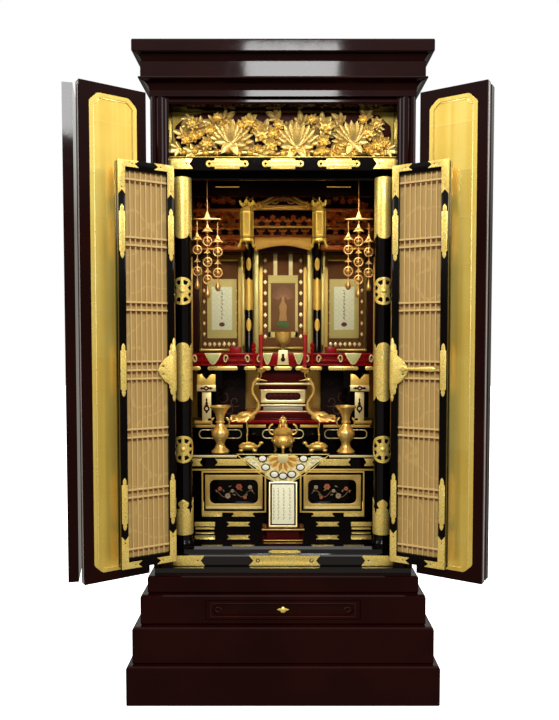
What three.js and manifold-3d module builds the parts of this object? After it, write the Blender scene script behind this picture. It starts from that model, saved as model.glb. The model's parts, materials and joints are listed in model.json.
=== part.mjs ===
// Household altar cabinet: a lacquered case on a stepped base, with folding outer and inner doors,
// and a gilded shrine with its hanging scrolls and altar implements inside.
// Millimetres, +Z up, front towards -Y. The origin is the centre of the base's underside.
import * as THREE from 'three';
import { mergeVertices } from 'three/addons/utils/BufferGeometryUtils.js';
import Module from 'manifold-3d';

const wasm = await Module();
wasm.setup();

// ---- Driving dimensions ----
const joinGap = 0.3;            // between neighbouring solids
const bodyHalf = 320;           // half the width of the case
const bodyBack = 520;           // depth of the case, from the front of its posts
const openingHalf = 275;        // half the width between the posts
const insideHalf = 300;         // half the width between the side boards
const backInner = 500;          // front face of the back board

const baseSteps = [             // top height, how far the step stands proud of the case
  { name: 'base_step_1', top: 97, proud: 57, round: 7 },
  { name: 'base_step_2', top: 187, proud: 44, round: 7 },
  { name: 'base_step_3', top: 260, proud: 27, round: 6 },
  { name: 'base_step_4', top: 302, proud: 12, round: 5 },
];
const slabTop = 317;
const sillTop = 344;
const floorTop = 360;
const headBottom = 1279;        // underside of the bar behind the lintel
const lintelBottom = 1292;
const lintelTop = 1326;
const transomTop = 1444;
const caseTop = 1475;
const crownTop = 1585;
const caseBoard = caseTop - 12;   // underside of the crown's bottom board
const railFront = 20;           // the sill and lintel stand this far behind the posts' faces

const outerLeaf = { bottom: 308, top: 1470, width: 160, thick: 24, pinX: 327, pinY: -4, fold: 4.5 };
const innerLeaf = { bottom: 345.5, top: 1290.5, width: 134, thick: 13, pinX: 274, pinY: 0.5, fold: 2.5 };
const outerOpen = { left: 147, right: 149 };      // degrees from shut
const outerFolded = { left: 110, right: 180 };
const innerOpen = { left: 150, right: 151 };
const innerFolded = 180;

const shelfTop = 569;
const shelfFront = 188;
const middleTop = 636;
const middleFront = 325;
const upperTop = 806;
const upperFront = 330;
const columnX = 248;
const columnY = 42;
const columnRadius = 20;
const pillarX = 102;
const pillarY = 390;
const scrollY = 478;

const baseFront = -baseSteps[0].proud;
const frameShift = -(baseFront + bodyBack) / 2;   // the case's front plane in the part's frame

// ---- Finishes ----
const finish = (color, roughness, metalness) => () => new THREE.MeshStandardMaterial({
  color, roughness, metalness,
});
const maroonLacquer = finish('#26080a', 0.15, 0);
const blackLacquer = finish('#0b0706', 0.12, 0);
const goldLeaf = finish('#e3cf7c', 0.35, 0.9);
const carvedGold = finish('#cf9a3a', 0.35, 0.9);
const brass = finish('#e2bd55', 0.25, 1);
const redLacquer = finish('#a3170f', 0.25, 0);
const gauze = finish('#b39a68', 0.8, 0);
const brocade = finish('#c2a15a', 0.6, 0.2);
const scrollSilk = finish('#8f7d4a', 0.7, 0.1);
const paper = finish('#e4dcb4', 0.8, 0);
const redWax = finish('#b01a14', 0.4, 0);

// ---- Solids ----
function toSolid(geometry) {
  const bare = geometry.clone();
  for (const name of Object.keys(bare.attributes)) {
    if (name !== 'position') bare.deleteAttribute(name);
  }
  const merged = mergeVertices(bare, 1e-4);
  const corners = Array.from(merged.index.array);
  const kept = [];
  for (let i = 0; i < corners.length; i += 3) {
    const [a, b, c] = corners.slice(i, i + 3);
    if (a !== b && b !== c && a !== c) kept.push(a, b, c);
  }
  return new wasm.Manifold(new wasm.Mesh({
    numProp: 3,
    vertProperties: new Float32Array(merged.attributes.position.array),
    triVerts: new Uint32Array(kept),
  }));
}

function toGeometry(solid) {
  const mesh = solid.getMesh();
  const geometry = new THREE.BufferGeometry();
  geometry.setAttribute('position', new THREE.BufferAttribute(new Float32Array(mesh.vertProperties), 3));
  geometry.setIndex(new THREE.BufferAttribute(new Uint32Array(mesh.triVerts), 1));
  return geometry;
}

// Joins pieces that overlap; small hollows sealed between them are filled.
function join(...geometries) {
  const whole = geometries.flat(2).map(toSolid).reduce((sum, solid) => sum.add(solid));
  const bodies = whole.decompose().filter((body) => body.volume() > 0);
  return toGeometry(bodies.reduce((sum, body) => sum.add(body)));
}

function cut(geometry, ...tools) {
  const blank = toSolid(geometry);
  return toGeometry(tools.flat().map(toSolid).reduce((whole, tool) => whole.subtract(tool), blank));
}

function common(a, b) {
  return toGeometry(toSolid(a).intersect(toSolid(b)));
}

function block(x0, x1, y0, y1, z0, z1) {
  const geometry = new THREE.BoxGeometry(Math.abs(x1 - x0), Math.abs(y1 - y0), Math.abs(z1 - z0));
  return geometry.translate((x0 + x1) / 2, (y0 + y1) / 2, (z0 + z1) / 2);
}

function outline(points) {
  return new THREE.Shape(points.map(([a, b]) => new THREE.Vector2(a, b)));
}

// Extrudes an outline drawn in (x, y) upwards, in (x, z) backwards, or in (y, z) to the right.
function upwards(shape, z0, z1, steps = 4) {
  const options = { depth: z1 - z0, bevelEnabled: false, curveSegments: steps };
  return new THREE.ExtrudeGeometry(shape, options).translate(0, 0, z0);
}

function backwards(shape, y0, y1, steps = 4) {
  const options = { depth: y1 - y0, bevelEnabled: false, curveSegments: steps };
  return new THREE.ExtrudeGeometry(shape, options).rotateX(Math.PI / 2).translate(0, y1, 0);
}

function sideways(shape, x0, x1, steps = 4) {
  const options = { depth: x1 - x0, bevelEnabled: false, curveSegments: steps };
  const turn = new THREE.Matrix4().makeBasis(
    new THREE.Vector3(0, 1, 0), new THREE.Vector3(0, 0, 1), new THREE.Vector3(1, 0, 0));
  return new THREE.ExtrudeGeometry(shape, options).applyMatrix4(turn).translate(x0, 0, 0);
}

// A turned solid about a vertical axis; profile points are [radius, height], closed on the axis.
function turned(profile, sides, x = 0, y = 0, z = 0) {
  const points = profile.map(([radius, height]) => new THREE.Vector2(radius, height));
  return new THREE.LatheGeometry(points, sides).rotateX(Math.PI / 2).translate(x, y, z);
}

function ball(x, y, z, rx, ry, rz, sides = 8) {
  const sphere = new THREE.SphereGeometry(1, sides, Math.max(4, sides / 2)).rotateX(Math.PI / 2);
  return sphere.scale(rx, ry, rz).translate(x, y, z);
}

// A rod of equal thickness along a smooth path.
function rod(points, radius, steps, sides = 6) {
  const section = new THREE.Shape();
  for (let i = 0; i < sides; i += 1) {
    const angle = (i / sides) * 2 * Math.PI;
    const place = [radius * Math.cos(angle), radius * Math.sin(angle)];
    if (i === 0) section.moveTo(...place);
    else section.lineTo(...place);
  }
  const path = new THREE.CatmullRomCurve3(points.map((point) => new THREE.Vector3(...point)));
  return new THREE.ExtrudeGeometry(section, { steps, extrudePath: path, bevelEnabled: false });
}

// A board moulded alike on its front and both ends: profile points are [proud, height].
function mouldedBlock(profile, half, back) {
  const front = profile.map(([proud, z]) => [-proud, z]);
  const side = outline([...front, [back, profile.at(-1)[1]], [back, profile[0][1]]]);
  const right = profile.map(([proud, z]) => [half + proud, z]);
  const left = profile.map(([proud, z]) => [-half - proud, z]).reverse();
  const reach = half + Math.max(...profile.map(([proud]) => proud)) + 1;
  const depth = Math.max(...profile.map(([proud]) => proud)) + 1;
  return common(sideways(side, -reach, reach), backwards(outline([...right, ...left]), -depth, back + 1));
}

function arcPoints(centreA, centreB, radius, from, to, count) {
  return Array.from({ length: count + 1 }, (_, i) => {
    const angle = THREE.MathUtils.degToRad(from + ((to - from) * i) / count);
    return [centreA + radius * Math.cos(angle), centreB + radius * Math.sin(angle)];
  });
}

// ---- The scene graph ----
const group = new THREE.Group();
const cabinet = new THREE.Group();
cabinet.position.set(0, frameShift, 0);
group.add(cabinet);

function place(name, geometry, material, parent = cabinet) {
  const mesh = new THREE.Mesh(geometry, material());
  mesh.name = name;
  parent.add(mesh);
  return mesh;
}

const sides = [{ name: 'left', sign: -1 }, { name: 'right', sign: 1 }];

// ---- Base, drawer and case ----
const drawer = { half: 187, bottom: 201, top: 247, front: -27, depth: 300, wall: 7 };

function stepProfile(step, bottom) {
  const corner = arcPoints(step.proud - step.round, step.top - step.round, step.round, 0, 90, 3);
  return [[step.proud - 2, bottom], [step.proud, bottom + 3], ...corner];
}

baseSteps.forEach((step, index) => {
  const bottom = index ? baseSteps[index - 1].top + joinGap : 0;
  let solid = mouldedBlock(stepProfile(step, bottom), bodyHalf, bodyBack);
  if (step.name === 'base_step_3') {
    const room = 1.5;
    solid = cut(solid, block(-drawer.half - room, drawer.half + room, drawer.front - 30,
      drawer.front + drawer.depth + 12, drawer.bottom - room, drawer.top + room));
  }
  place(step.name, solid, maroonLacquer);
});

function drawerTray() {
  const { half, bottom, top, front, depth, wall } = drawer;
  const face = block(-half, half, front, front + 16, bottom, top);
  const fieldHalf = half - 12;
  const field = [[-fieldHalf + 14, bottom + 9], [fieldHalf - 14, bottom + 9], [fieldHalf, (bottom + top) / 2],
    [fieldHalf - 14, top - 9], [-fieldHalf + 14, top - 9], [-fieldHalf, (bottom + top) / 2]];
  const tray = block(-half + 6, half - 6, front + 15, front + depth, bottom, top - 4);
  const room = half - 6 - wall;
  const inside = block(-room, room, front + 16, front + depth - wall, bottom + 5, top + 5);
  return cut(cut(join(face, tray), inside), backwards(outline(field), front - 1, front + 4));
}
place('drawer', drawerTray(), maroonLacquer);

function drawerKnob() {
  const middle = (drawer.bottom + drawer.top) / 2;
  const diamond = [[-15, 0], [-9, -5], [0, -9], [9, -5], [15, 0], [9, 5], [0, 9], [-9, 5]];
  const plate = outline(diamond.map(([x, z]) => [x, z + middle]));
  const bud = new THREE.CylinderGeometry(3.5, 6.5, 7, 8).translate(0, drawer.front + 0.2, middle);
  return join(backwards(plate, drawer.front + 0.5, drawer.front + 3.7), bud);
}
place('drawer_knob', drawerKnob(), brass);

// The case's bottom board, with the sill rail in front and the altar floor on it.
function caseFloor() {
  const slab = block(-bodyHalf + 3, bodyHalf - 3, 3, bodyBack, baseSteps[3].top + joinGap, slabTop - joinGap);
  const rail = [[railFront + 4, slabTop - 2], [railFront, slabTop + 2], [railFront, sillTop - 3],
    [railFront + 3, sillTop], [railFront + 14, sillTop], [railFront + 16, floorTop - 6],
    [railFront + 22, floorTop], [backInner - joinGap, floorTop], [backInner - joinGap, slabTop - 2]];
  return join(slab, sideways(outline(rail), -openingHalf + joinGap, openingHalf - joinGap));
}
place('case_floor', caseFloor(), blackLacquer);

const postBack = 52;
const panelFront = postBack + joinGap;
for (const { name, sign } of sides) {
  // The post's face has a round outer reed, a groove and a stepped inner edge.
  const outer = bodyHalf;
  const reed = arcPoints(outer - 8, 8, 8, 0, -160, 6);
  const section = [[outer, postBack], ...reed, [outer - 17, 6], [outer - 20, 0.5], [openingHalf + 16, 0.5],
    [openingHalf + 13, 3], [openingHalf + 8, 3], [openingHalf + 5, 5.5], [openingHalf, 5.5],
    [openingHalf, postBack]].map(([x, y]) => [x * sign, y]);
  place(`${name}_post`, upwards(outline(section), slabTop, caseBoard - joinGap), maroonLacquer);
  place(`${name}_side`, block(sign * bodyHalf, sign * insideHalf, panelFront, bodyBack, slabTop,
    caseBoard - joinGap), maroonLacquer);
}
place('back_board', block(-insideHalf + joinGap, insideHalf - joinGap, backInner, bodyBack, slabTop,
  caseBoard - joinGap), blackLacquer);

// The crown and the head rail under it, with a bead along the rail.
function crown() {
  const hollow = arcPoints(20, caseTop + 2, 20, 180, 90, 4);
  const upperHollow = arcPoints(29, 1543, 11, 180, 90, 3);
  const profile = [
    [0, caseBoard], ...hollow, [22, 1497], [23, 1499.5], [22, 1502], [18, 1503.5], [18, 1538], [15, 1541],
    [16, 1543], ...upperHollow.slice(1), [33, 1554], [35, 1556.5], [35, crownTop - 5],
    [33.5, crownTop - 1.5], [30, crownTop]];
  const bead = arcPoints(13, 1454, 8, 90, 270, 5);
  const rail = [[66, caseBoard + 1], [13, caseBoard + 1], ...bead, [18, transomTop + joinGap],
    [66, transomTop + joinGap]];
  const half = openingHalf - joinGap;
  return join(mouldedBlock(profile, bodyHalf, bodyBack), sideways(outline(rail), -half, half));
}
place('crown', crown(), maroonLacquer);

// ---- Lintel, head rail and the carved transom ----
function lintel() {
  const section = [[60, headBottom], [66, headBottom], [66, lintelTop], [railFront + 4, lintelTop],
    [railFront, lintelTop - 4], [railFront, lintelBottom + 2], [railFront + 2, lintelBottom],
    [60, lintelBottom]];
  return sideways(outline(section), -openingHalf + joinGap, openingHalf - joinGap);
}
place('lintel', lintel(), blackLacquer);

// A closed relief flower or leaf: rings of [radius, height] from the foot to the crown, where every
// second point of a ring is drawn in by the notch. It stands up along -Y from its foot.
function blossom(x, z, foot, rings, petals, notch) {
  const count = petals * 2;
  const points = [];
  const triangles = [];
  rings.forEach(([radius, height, lift]) => {
    for (let i = 0; i < count; i += 1) {
      const angle = (i / count) * 2 * Math.PI;
      const valley = i % 2;
      const reach = radius * (valley ? notch : 1);
      points.push(reach * Math.cos(angle), reach * Math.sin(angle), height - (valley ? lift : 0));
    }
  });
  for (let ring = 0; ring + 1 < rings.length; ring += 1) {
    for (let i = 0; i < count; i += 1) {
      const a = ring * count + i;
      const b = ring * count + ((i + 1) % count);
      triangles.push(a, b, b + count, a, b + count, a + count);
    }
  }
  const last = (rings.length - 1) * count;
  points.push(0, 0, rings[0][1], 0, 0, rings.at(-1)[1] * 1.05);
  const footCentre = rings.length * count;
  for (let i = 0; i < count; i += 1) {
    triangles.push(footCentre, (i + 1) % count, i);
    triangles.push(footCentre + 1, last + i, last + ((i + 1) % count));
  }
  const geometry = new THREE.BufferGeometry();
  geometry.setAttribute('position', new THREE.BufferAttribute(new Float32Array(points), 3));
  geometry.setIndex(triangles);
  return geometry.rotateX(Math.PI / 2).translate(x, foot, z);
}

function leaf(x, z, foot, length, width, height, turn) {
  const half = [[0, 0], [0.3, -0.62], [0.52, -1], [0.6, -0.72], [0.78, -0.8], [1, 0]];
  const edge = [...half, ...half.slice(1, -1).reverse().map(([a, b]) => [a, -b])];
  const points = edge.flatMap(([a, b]) => [a * length, (b * width) / 2, 0]);
  points.push(length * 0.25, 0, height, length * 0.75, 0, height * 0.8);
  const count = edge.length;
  const tipIndex = half.length - 1;
  const triangles = [];
  for (let i = 0; i < count; i += 1) {
    const next = (i + 1) % count;
    const nearTip = Math.abs(i + 0.5 - tipIndex) < 2.2;
    triangles.push(i, next, nearTip ? count + 1 : count);
  }
  for (let i = 0; i < count; i += 1) {
    const nearTip = Math.abs(i + 0.5 - tipIndex) < 2.2;
    const before = Math.abs(i - 0.5 - tipIndex) < 2.2;
    if (nearTip !== before) triangles.push(i, nearTip ? count + 1 : count, nearTip ? count : count + 1);
  }
  for (let i = 1; i + 1 < count; i += 1) triangles.push(0, i + 1, i);
  const geometry = new THREE.BufferGeometry();
  geometry.setAttribute('position', new THREE.BufferAttribute(new Float32Array(points), 3));
  geometry.setIndex(triangles);
  return geometry.rotateZ(turn).rotateX(Math.PI / 2).translate(x, foot, z);
}

function transom() {
  const half = openingHalf - joinGap;
  const ground = 56;
  const middle = (lintelTop + transomTop) / 2;
  const parts = [block(-half, half, ground, ground + 8, lintelTop + joinGap, transomTop)];
  const flower = [[27, 0, 0], [25, 18, 4], [11, 26, 3]];
  const small = [[18, 0, 0], [16, 15, 3], [7, 21, 2]];
  const spots = [[-205, 8], [-100, 10], [0, 0], [100, 10], [205, 8]];
  spots.forEach(([x, rise]) => parts.push(blossom(x, middle + rise, ground + 2, flower, 9, 0.76)));
  [-152, -52, 52, 152].forEach((x, i) => {
    parts.push(blossom(x, middle - 20 + (i % 2) * 34, ground + 2, small, 6, 0.72));
    for (const turn of [0.5, 1.8, 3.6, 4.9]) {
      const [footX, footZ] = [x + 14 * Math.cos(turn), middle - 4 + 14 * Math.sin(turn)];
      parts.push(leaf(footX, footZ, ground + 1, 36, 22, 15, turn));
    }
  });
  for (const sign of [-1, 1]) {
    for (const [turn, rise] of [[0.2, 26], [-0.5, -6], [0.9, -34]]) {
      const heading = sign > 0 ? turn : Math.PI - turn;
      parts.push(leaf(sign * 222, middle + rise, ground + 1, 36, 20, 14, heading));
    }
  }
  const stem = (wave, phase) => Array.from({ length: 13 }, (_, i) => [
    (i / 12 - 0.5) * 2 * (half - 20), ground - 7, middle + phase + wave * Math.cos((i / 12) * 5 * Math.PI)]);
  parts.push(rod(stem(16, -30), 6, 18, 4));
  return join(parts);
}
place('transom_carving', transom(), carvedGold);

// ---- Columns in front of the altar ----
function column(x) {
  const bottom = floorTop + joinGap;
  const top = headBottom - joinGap;
  const r = columnRadius;
  const sleeve = (low, high) => [[r, low], [r + 1.6, low + 0.5], [r + 1.6, high - 0.5], [r, high]];
  const profile = [[0, bottom], [r + 4, bottom], [r + 4, bottom + 16], [r + 1.6, bottom + 20],
    [r + 1.6, 484], [r, 485], ...sleeve(577, 641), ...sleeve(727, 875), ...sleeve(966, 1035),
    ...sleeve(1127, 1266), [r, 1267], [r, top], [0, top]];
  return turned(profile, 10, x, columnY);
}
for (const { name, sign } of sides) {
  place(`${name}_column`, column(sign * columnX), blackLacquer);
}

// ---- Altar furniture: cupboard, shelves, dais ----
function framedField(x0, x1, z0, z1, radius) {
  const shape = new THREE.Shape();
  shape.moveTo(x0 + radius, z0);
  shape.lineTo(x1 - radius, z0);
  shape.absarc(x1 - radius, z0 + radius, radius, -Math.PI / 2, 0);
  shape.lineTo(x1, z1 - radius);
  shape.absarc(x1 - radius, z1 - radius, radius, 0, Math.PI / 2);
  shape.lineTo(x0 + radius, z1);
  shape.absarc(x0 + radius, z1 - radius, radius, Math.PI / 2, Math.PI);
  shape.lineTo(x0, z0 + radius);
  shape.absarc(x0 + radius, z0 + radius, radius, Math.PI, 1.5 * Math.PI);
  return shape;
}

const cupboard = { front: 194, fieldIn: 44, fieldOut: 214, fieldBottom: 413, fieldTop: 518 };

function lowerCupboard() {
  const half = insideHalf - joinGap;
  const { front, fieldIn, fieldOut, fieldBottom, fieldTop } = cupboard;
  const face = block(-half, half, front, front + 18, floorTop + joinGap, shelfTop - 14 - joinGap);
  const plinth = block(-half, half, front - 8, front + 1, floorTop + joinGap, 399);
  const frames = [-1, 1].map((sign) => {
    const span = [sign * fieldIn, sign * fieldOut].sort((a, b) => a - b);
    const rim = framedField(span[0], span[1], fieldBottom, fieldTop, 10);
    const hollow = framedField(span[0] + 11, span[1] - 11, fieldBottom + 11, fieldTop - 11, 16);
    return cut(backwards(rim, front - 4, front + 1, 2), backwards(hollow, front - 5, front + 0.5, 2));
  });
  const fascia = block(-half, half, front - 3, front + 1, 530, shelfTop - 14 - joinGap);
  return join(face, plinth, frames, fascia);
}
place('lower_cupboard', lowerCupboard(), blackLacquer);

function shelf(front, top, thick, lip) {
  const half = insideHalf - joinGap;
  const section = [[front + 2, top], [front, top - 2], [front, top - lip], [front + 3, top - lip - 2],
    [front + 3, top - thick], [backInner - joinGap, top - thick], [backInner - joinGap, top]];
  return sideways(outline(section), -half, half);
}
place('altar_shelf', shelf(shelfFront, shelfTop, 14, 8), blackLacquer);

// The middle shelf and its riser, whose face holds three long raised fields with round ends.
function middleShelf() {
  const half = insideHalf - joinGap;
  const top = middleTop - 13;
  const front = middleFront + 9;
  const fields = [-165, 0, 165].map((x) => (
    backwards(framedField(x - 52, x + 52, shelfTop + 12, top - 12, 14), front - 3, front + 1, 2)));
  const riser = block(-half, half, front, front + 14, shelfTop + joinGap, top + 1);
  return join(shelf(middleFront, middleTop, 13, 9), riser, fields);
}
place('middle_shelf', middleShelf(), blackLacquer);

// The upper shelf stands on two square bracket posts with wide gilded heads.
function upperShelf() {
  const bottom = middleTop + joinGap;
  const top = upperTop - 15;
  const posts = [-205, 205].map((x) => [
    block(x - 13, x + 13, 352, 378, bottom, top - 50),
    block(x - 27, x + 27, 345, 385, top - 51, top + 1),
    block(x - 17, x + 17, 348, 382, bottom, bottom + 14),
  ]);
  return join(shelf(upperFront, upperTop, 15, 11), posts.flat());
}
place('upper_shelf', upperShelf(), blackLacquer);

// The dais narrows to a waist and spreads again, in mouldings on its front and both ends.
function dais() {
  const bottom = middleTop + joinGap;
  const top = upperTop - 15 - joinGap;
  const profile = [[78, bottom], [78, bottom + 8], [70, bottom + 12], [70, bottom + 24], [50, bottom + 28],
    [46, bottom + 38], [26, bottom + 42], [20, bottom + 54], [6, bottom + 58], [0, bottom + 64],
    [0, bottom + 98], [8, bottom + 104], [24, bottom + 108], [24, bottom + 118], [44, bottom + 122],
    [44, bottom + 134], [60, bottom + 138], [60, top]];
  const front = 348 + 78;
  const shifted = mouldedBlock(profile, 78, 60).translate(0, front, 0);
  const field = backwards(framedField(-66, 66, bottom + 66, bottom + 96, 9), front - 4, front + 1, 2);
  return join(shifted, field);
}
place('dais', dais(), redLacquer);

// ---- Railing on the upper shelf ----
function railing() {
  const bottom = upperTop + joinGap;
  const front = upperFront + 6;
  const rails = [[-290, -34], [34, 290]].map(([x0, x1]) => [
    block(x0, x1, front, front + 8, bottom, bottom + 9),
    block(x0, x1, front + 1, front + 7, bottom + 20, bottom + 26),
    block(x0, x1, front - 1, front + 9, bottom + 38, bottom + 46),
  ]);
  const posts = [-290, -214, -160, -90, -42, 34, 82, 152, 206, 282].map((x) => (
    block(x, x + 8, front, front + 8, bottom, bottom + 40)));
  const bud = [[0, bottom + 44], [5, bottom + 44], [7, bottom + 52], [4, bottom + 60], [0, bottom + 64]];
  const knobs = [-86, 86].map((x) => turned(bud, 8, x, front + 4));
  const tie = block(-36, 36, front, front + 4, bottom, bottom + 6);
  return join(rails.flat(), posts, knobs, tie);
}
place('red_railing', railing(), redLacquer);

// ---- The shrine: pillars, bracketed beams and a curved gable ----
function gableOutline(half, crest, depth) {
  // Cusped gable: a round crest between hollow shoulders, with the tips turned up.
  const top = Array.from({ length: 13 }, (_, i) => {
    const t = (i / 12) * 2 - 1;
    const bow = Math.cos(t * Math.PI * 0.62) * crest;
    const tip = Math.max(0, Math.abs(t) - 0.82) * crest * 1.4;
    return [t * half, bow + tip];
  });
  const under = top.map(([x, z]) => [x, z - depth]).reverse();
  return [...top, ...under];
}

function shrine() {
  const bottom = upperTop + joinGap;
  const pillar = (x, y) => turned([[0, bottom], [17, bottom], [17, bottom + 12], [12, bottom + 18],
    [12, bottom + 60], [14, bottom + 61], [14, bottom + 108], [12, bottom + 109], [12, bottom + 190],
    [14, bottom + 191], [14, bottom + 300], [12, bottom + 301], [12, 1172], [0, 1172]], 8, x, y);
  const parts = [pillar(-pillarX, pillarY), pillar(pillarX, pillarY)];
  parts.push(block(-262, 262, pillarY - 10, pillarY + 10, 1150, 1172));
  parts.push(block(-262, 262, pillarY - 4, pillarY + 40, 1168, 1196));
  parts.push(block(-262, 262, pillarY + 10, pillarY + 30, 1190, 1250));
  // Stepped brackets under the eaves.
  for (let row = 0; row < 2; row += 1) {
    const low = 1192 + row * 24;
    const reach = 14 + row * 26;
    parts.push(block(-262, 262, pillarY - reach, pillarY + 30, low + 9, low + 17));
    for (let i = -3; i <= 3; i += 1) {
      const x = i * 72;
      parts.push(block(x - 9, x + 9, pillarY - reach - 8, pillarY - reach + 2, low, low + 15));
    }
  }
  parts.push(block(-262, 262, pillarY - 60, pillarY + 90, 1240, 1256));
  const crest = outline(gableOutline(96, 34, 15).map(([x, z]) => [x, z + 1236]));
  parts.push(backwards(crest, 300, pillarY - 50, 2));
  const panel = outline([[-80, 1238], [80, 1238], [52, 1252], [0, 1262], [-52, 1252]]);
  parts.push(backwards(panel, 318, pillarY - 50));
  // Carved drop under the middle of the eaves.
  const drop = [[-92, 1196], [92, 1196], [92, 1184], [70, 1176], [52, 1182], [34, 1168], [16, 1174],
    [0, 1160], [-16, 1174], [-34, 1168], [-52, 1182], [-70, 1176], [-92, 1184]];
  parts.push(backwards(outline(drop), pillarY - 6, pillarY + 4));
  return join(parts);
}
place('shrine', shrine(), carvedGold);

// Two stepped beams close the altar room above, each with a row of round studs.
function ceilingBeams() {
  const half = insideHalf - joinGap;
  const parts = [block(-half, half, 66 + joinGap, 300, 1318, 1326), block(-half, half, 196, 212, 1268, 1320),
    block(-half, half, 120, 132, 1290, 1320)];
  for (let i = -6; i <= 6; i += 1) {
    parts.push(block(i * 40 - 5, i * 40 + 5, 192, 197, 1276, 1286));
  }
  return join(parts);
}
place('ceiling_beams', ceilingBeams(), blackLacquer);

// ---- Hanging scrolls ----
function scroll(x, half, bottom, top, front) {
  const cloth = block(x - half, x + half, front, front + 3, bottom + 4, top);
  const roller = new THREE.CylinderGeometry(5, 5, half * 2 + 10, 8).rotateZ(Math.PI / 2);
  roller.translate(x, front + 1.5, bottom + 4);
  const batten = block(x - half - 2, x + half + 2, front - 1, front + 4, top - 3, top + 4);
  return join(cloth, roller, batten);
}
place('centre_scroll', scroll(0, 64, 852, 1184, scrollY), scrollSilk);
place('left_scroll', scroll(-197, 56, 846, 1130, scrollY), scrollSilk);
place('right_scroll', scroll(197, 56, 846, 1130, scrollY), scrollSilk);

// ---- Hanging lanterns and pendants ----
const lantern = { x: 98, y: 204, bottom: 1129 };

function hangingLantern(x) {
  const { y, bottom } = lantern;
  const profile = [[0, 0], [10, 0], [14, 6], [27, 10], [28, 15], [19, 20], [17, 24], [17, 62], [19, 66],
    [31, 74], [34, 84], [28, 84], [16, 92], [9, 104], [5, 112], [5, 122], [0, 127.5]];
  const parts = [turned(profile, 6, x, y, bottom)];
  for (let i = 0; i < 6; i += 1) {
    const angle = (i / 6) * 2 * Math.PI + Math.PI / 2;
    const [dx, dy] = [Math.cos(angle), Math.sin(angle)];
    parts.push(rod([[x + 26 * dx, y + 26 * dy, bottom + 79], [x + 37 * dx, y + 37 * dy, bottom + 85],
      [x + 41 * dx, y + 41 * dy, bottom + 97]], 3, 2, 3));
  }
  const hook = new THREE.CylinderGeometry(1.6, 1.6, 14, 6).rotateX(Math.PI / 2);
  parts.push(hook.translate(x, y, bottom + 131.5));
  return join(parts);
}

// A pendant: three strands of flat roundels, each ending in a drop, under a bar on its hook.
function strand(x, top, count) {
  const right = [[1.5, top]];
  let z = top - 6;
  for (let i = 0; i < count; i += 1) {
    const radius = 11 - (i % 2) * 3;
    right.push([1.5, z], [radius, z - radius * 0.6], [radius, z - radius * 1.4], [1.5, z - radius * 2]);
    z -= 2 * radius + 14;
  }
  right.push([1.5, z + 6], [8, z], [5, z - 12]);
  const left = right.map(([dx, height]) => [-dx, height]).reverse();
  return outline([...left, ...right, [0, z - 20]].map(([dx, height]) => [x + dx, height]));
}

function pendant(x) {
  const y = 150;
  const hook = block(x - 1.5, x + 1.5, y - 1.5, y + 1.5, 1200, 1317.5);
  const bar = block(x - 40, x + 40, y - 3, y + 3, 1195, 1202);
  const strands = [[-32, 4], [0, 5], [32, 4]].map(([shift, count]) => (
    backwards(strand(x + shift, 1197, count), y - 2.5, y + 2.5)));
  return join(hook, bar, strands);
}
for (const { name, sign } of sides) {
  place(`${name}_lantern`, hangingLantern(sign * lantern.x), brass);
  place(`${name}_pendant`, pendant(sign * 199), brass);
}

// ---- Altar implements ----
function vase(x) {
  const wall = 2;
  const base = shelfTop + joinGap;
  const outside = [[0, 0], [22, 0], [22, 5], [10, 15], [10, 23], [22, 38], [25, 50], [22, 62],
    [9, 77], [14, 84], [9, 91], [10, 101], [17, 114], [29, 127], [29, 130]];
  const inside = [[29 - wall, 130], [15, 114], [8, 101], [7, 78], [20, 61], [23, 50], [12, 30], [0, 28]];
  return turned([...outside, ...inside], 10, x, 222, base);
}

function censer() {
  const base = shelfTop + joinGap;
  const outside = [[0, 8], [12, 8], [29, 26], [30, 38], [23, 50], [27, 56], [27, 59]];
  const inside = [[24, 59], [20, 51], [27, 38], [26, 28], [11, 12], [0, 12]];
  const bowl = toSolid(turned([...outside, ...inside], 12, 0, 222, base));
  const feet = [0, 1, 2].map((i) => {
    const angle = -Math.PI / 2 + (i / 3) * 2 * Math.PI;
    const [dx, dy] = [Math.cos(angle), Math.sin(angle)];
    return rod([[22 * dx, 222 + 22 * dy, base + 20], [25 * dx, 222 + 25 * dy, base + 9],
      [19 * dx, 222 + 19 * dy, base + 3], [20 * dx, 222 + 20 * dy, base]], 4, 4, 5);
  });
  const ears = [-1, 1].map((sign) => rod([[sign * 26, 222, base + 44], [sign * 36, 222, base + 48],
    [sign * 37, 222, base + 60], [sign * 31, 222, base + 66]], 3, 4, 5));
  const room = toSolid(block(-60, 60, 150, 300, base - 20, base));
  const hollow = toSolid(turned([...[...inside].reverse(), [24, 80], [0, 80]],
    12, 0, 222, base));
  const legs = toSolid(join(feet, ears)).subtract(room).subtract(hollow);
  return toGeometry(bowl.add(legs));
}

function censerLid() {
  const base = shelfTop + joinGap + 59 + joinGap;
  const dome = turned([[0, 0], [27, 0], [27, 3], [22, 6], [16, 11], [0, 14]], 12, 0, 222, base);
  // A seated lion on the lid: haunches, chest, head with its mane, and a raised tail.
  return join(dome, ball(4, 224, base + 20, 13, 10, 10, 7), ball(-7, 218, base + 22, 8, 8, 11, 6),
    ball(-11, 215, base + 34, 9, 8, 8, 7), ball(-18, 212, base + 31, 5, 4, 4, 5),
    ball(16, 226, base + 32, 5, 4, 9, 4));
}

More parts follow.
